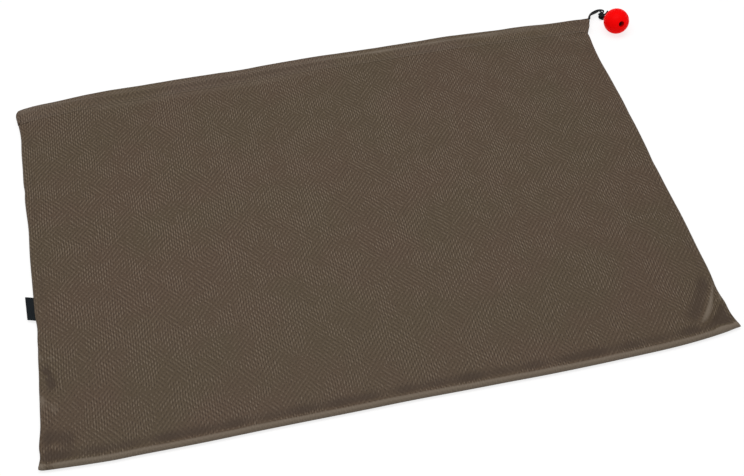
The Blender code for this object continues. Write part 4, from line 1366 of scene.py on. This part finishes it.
class FISHSACK_OT_knots(Operator):
    """The knot that ties both tails, the cord through the float and its stopper knot"""
    bl_idname = "fishsack.knots"
    bl_label = "Knots"

    def execute(self, context):
        diameter = settings("cord").diameter
        centre = np.array(centre_of("drawcord_knot"))
        size = np.array(size_of("drawcord_knot"))
        strands = []
        for turned in (0.0, math.radians(60)):
            line = knot_route(size[[0, 2, 1]] - diameter, turned)
            strands.append(cord_tube("knot_wrap", centre + line[:, [0, 2, 1]], 20))
        face = centre + (0, size[1] / 2, 0)
        through = (
            (face + FRONT_TAIL_TO_KNOT[-1], centre + (0.0010, 0.0015, 0.0015), centre + FREE_END[0]),
            (face + BACK_TAIL_TO_KNOT[-1], centre + (0.0012, -0.0010, -0.0015), centre + NECK_FROM_KNOT[0]),
        )
        for points in through:
            strands.append(cord_tube("knot_run", smooth_route(points, 40), 20))
        knot = self.join("cord_knot", strands)
        place_on(knot, "drawcord", "black_cord", "drawcord_knot")
        axis, turn = float_axis()
        ball = centre_of("float_ball")
        ball_radius = size_of("float_ball").z / 2
        stopper_at = centre_of("stopper_knot")
        points = [Vector(centre) + Vector(step) for step in NECK_FROM_KNOT]
        points += [ball - axis * (ball_radius + below) for below in (*NECK_ON_AXIS, 0.0)]
        points += [ball, stopper_at - axis * (STOPPER_LENGTH / 2 + TOUCH_GAP)]
        route = smooth_route(points, 150)
        run = cord_tube("float_strand", route, 24)
        place_on(run, "drawcord", "black_cord", "float_cord")
        stopper = self.make_stopper(stopper_at, axis, turn, diameter)
        place_on(stopper, "drawcord", "black_cord", "stopper_knot")
        return {"FINISHED"}

    def make_stopper(self, centre, axis, turn, diameter):
        size = np.array((STOPPER_DIAMETER, STOPPER_DIAMETER, STOPPER_LENGTH))
        line = knot_route(size - STOPPER_SHARE * diameter)
        loop = cord_tube("stopper_wrap", np.array(centre) + line @ turn.T, 20, STOPPER_SHARE)
        stub_route = [centre + axis * (t * 4.2 * MM - 1 * MM) + Vector((0.4 * MM, 0, 0)) * t
                      for t in np.linspace(0, 1, 24)]
        stub = cord_tube("stopper_stub", stub_route, 20, STOPPER_SHARE, taper=0.4 * MM)
        return self.join("stopper_knot_wrap", [loop, stub])

    def join(self, name, pieces):
        """One piece from several, each still its own closed body."""
        whole = bmesh.new()
        for piece in pieces:
            whole.from_mesh(piece.data)
        mesh = bpy.data.meshes.new(name)
        whole.to_mesh(mesh)
        whole.free()
        mesh.materials.append(pieces[0].data.materials[0])
        for piece in pieces:
            bpy.data.objects.remove(piece, do_unlink=True)
        mesh.shade_smooth()
        return add_object(name, mesh)


class FISHSACK_OT_float(Operator):
    """Drilled ball with softened hole edges and a seat for the stopper knot"""
    bl_idname = "fishsack.float"
    bl_label = "Ball float"

    def execute(self, context):
        ball = settings("float")
        centre = centre_of("float_ball")
        radius = size_of("float_ball").z / 2
        soft = ball.hole_rounding
        top = math.acos((SEAT_RADIUS + soft) / radius)
        bottom = -math.acos((BORE_RADIUS + soft) / radius)
        profile = [(radius * math.cos(a), radius * math.sin(a)) for a in np.linspace(top, bottom, 60)]
        rim = self.rounded(profile[0], (SEAT_RADIUS, profile[0][1] - soft))
        profile += self.rounded(profile[-1], (BORE_RADIUS, profile[-1][1] + soft))
        floor = radius - SEAT_DEPTH
        profile += [(BORE_RADIUS, z) for z in np.linspace(profile[-1][1], floor - BORE_CHAMFER, 12)[1:]]
        profile += [(BORE_RADIUS + BORE_CHAMFER, floor), (SEAT_RADIUS - SEAT_CHAMFER, floor)]
        profile += [(SEAT_RADIUS, z) for z in np.linspace(floor + SEAT_CHAMFER, rim[-1][1], 8)[:-1]]
        profile = np.array(profile + rim[::-1])
        sides = 96
        angles = np.linspace(0, TURN, sides, endpoint=False)
        rows = [np.stack([r * np.cos(angles), r * np.sin(angles), 0 * angles + z], 1) for r, z in profile]
        points = np.array(centre) + np.array(rows) @ float_axis()[1].T
        # Painted shade for the hole, from just below the ball's face inwards, passed on as the relief
        depth = (radius - 0.3 * MM - np.hypot(profile[:, 0], profile[:, 1])) / (1.2 * MM)
        shade = np.repeat(-np.clip(depth, 0, 1), sides)
        last = (len(profile) - 1) * sides
        faces = [*grid_faces(len(profile), sides, 0, closed=True)]
        faces += [(last + k, k, (k + 1) % sides, last + (k + 1) % sides) for k in range(sides)]
        piece = new_piece("float_shell", points, faces, finish("float_plastic"), relief=shade)
        close_up(piece, sharp=45)
        place_on(piece, "float", "red_float", "float_ball")
        return {"FINISHED"}

    def rounded(self, start, end):
        """Quarter round from the ball's face into the hole."""
        across, down = end[0] - start[0], end[1] - start[1]
        return [(start[0] + across * math.sin(a), start[1] + down * (1 - math.cos(a)))
                for a in np.linspace(0, math.pi / 2, 7)[1:]]


OPERATORS = (FISHSACK_OT_stage, FISHSACK_OT_drawcord, FISHSACK_OT_knots, FISHSACK_OT_cloth,
             FISHSACK_OT_hems, FISHSACK_OT_allowances, FISHSACK_OT_stitches, FISHSACK_OT_label,
             FISHSACK_OT_float)


class FISHSACK_PT_panel(Panel):
    """Settings and steps of the fish sack"""
    bl_idname = "FISHSACK_PT_panel"
    bl_label = "Fish sack"
    bl_space_type = "VIEW_3D"
    bl_region_type = "UI"
    bl_category = "Fish sack"

    def draw(self, context):
        for operator in OPERATORS:
            self.layout.operator(operator.bl_idname)
        for name, group in SETTINGS.items():
            box = self.layout.box()
            box.label(text=name.replace("_", " "))
            for key in group.__annotations__:
                box.prop(getattr(context.scene, name), key)


CLASSES = (*SETTINGS.values(), *OPERATORS, FISHSACK_PT_panel)


def register():
    for item in CLASSES:
        bpy.utils.register_class(item)
    for name, group in SETTINGS.items():
        setattr(bpy.types.Scene, name, PointerProperty(type=group))


def unregister():
    for name in SETTINGS:
        delattr(bpy.types.Scene, name)
    for item in reversed(CLASSES):
        bpy.utils.unregister_class(item)


def main():
    register()
    for operator in OPERATORS:
        group, name = operator.bl_idname.split(".")
        getattr(getattr(bpy.ops, group), name)()


if __name__ == "__main__":
    main()
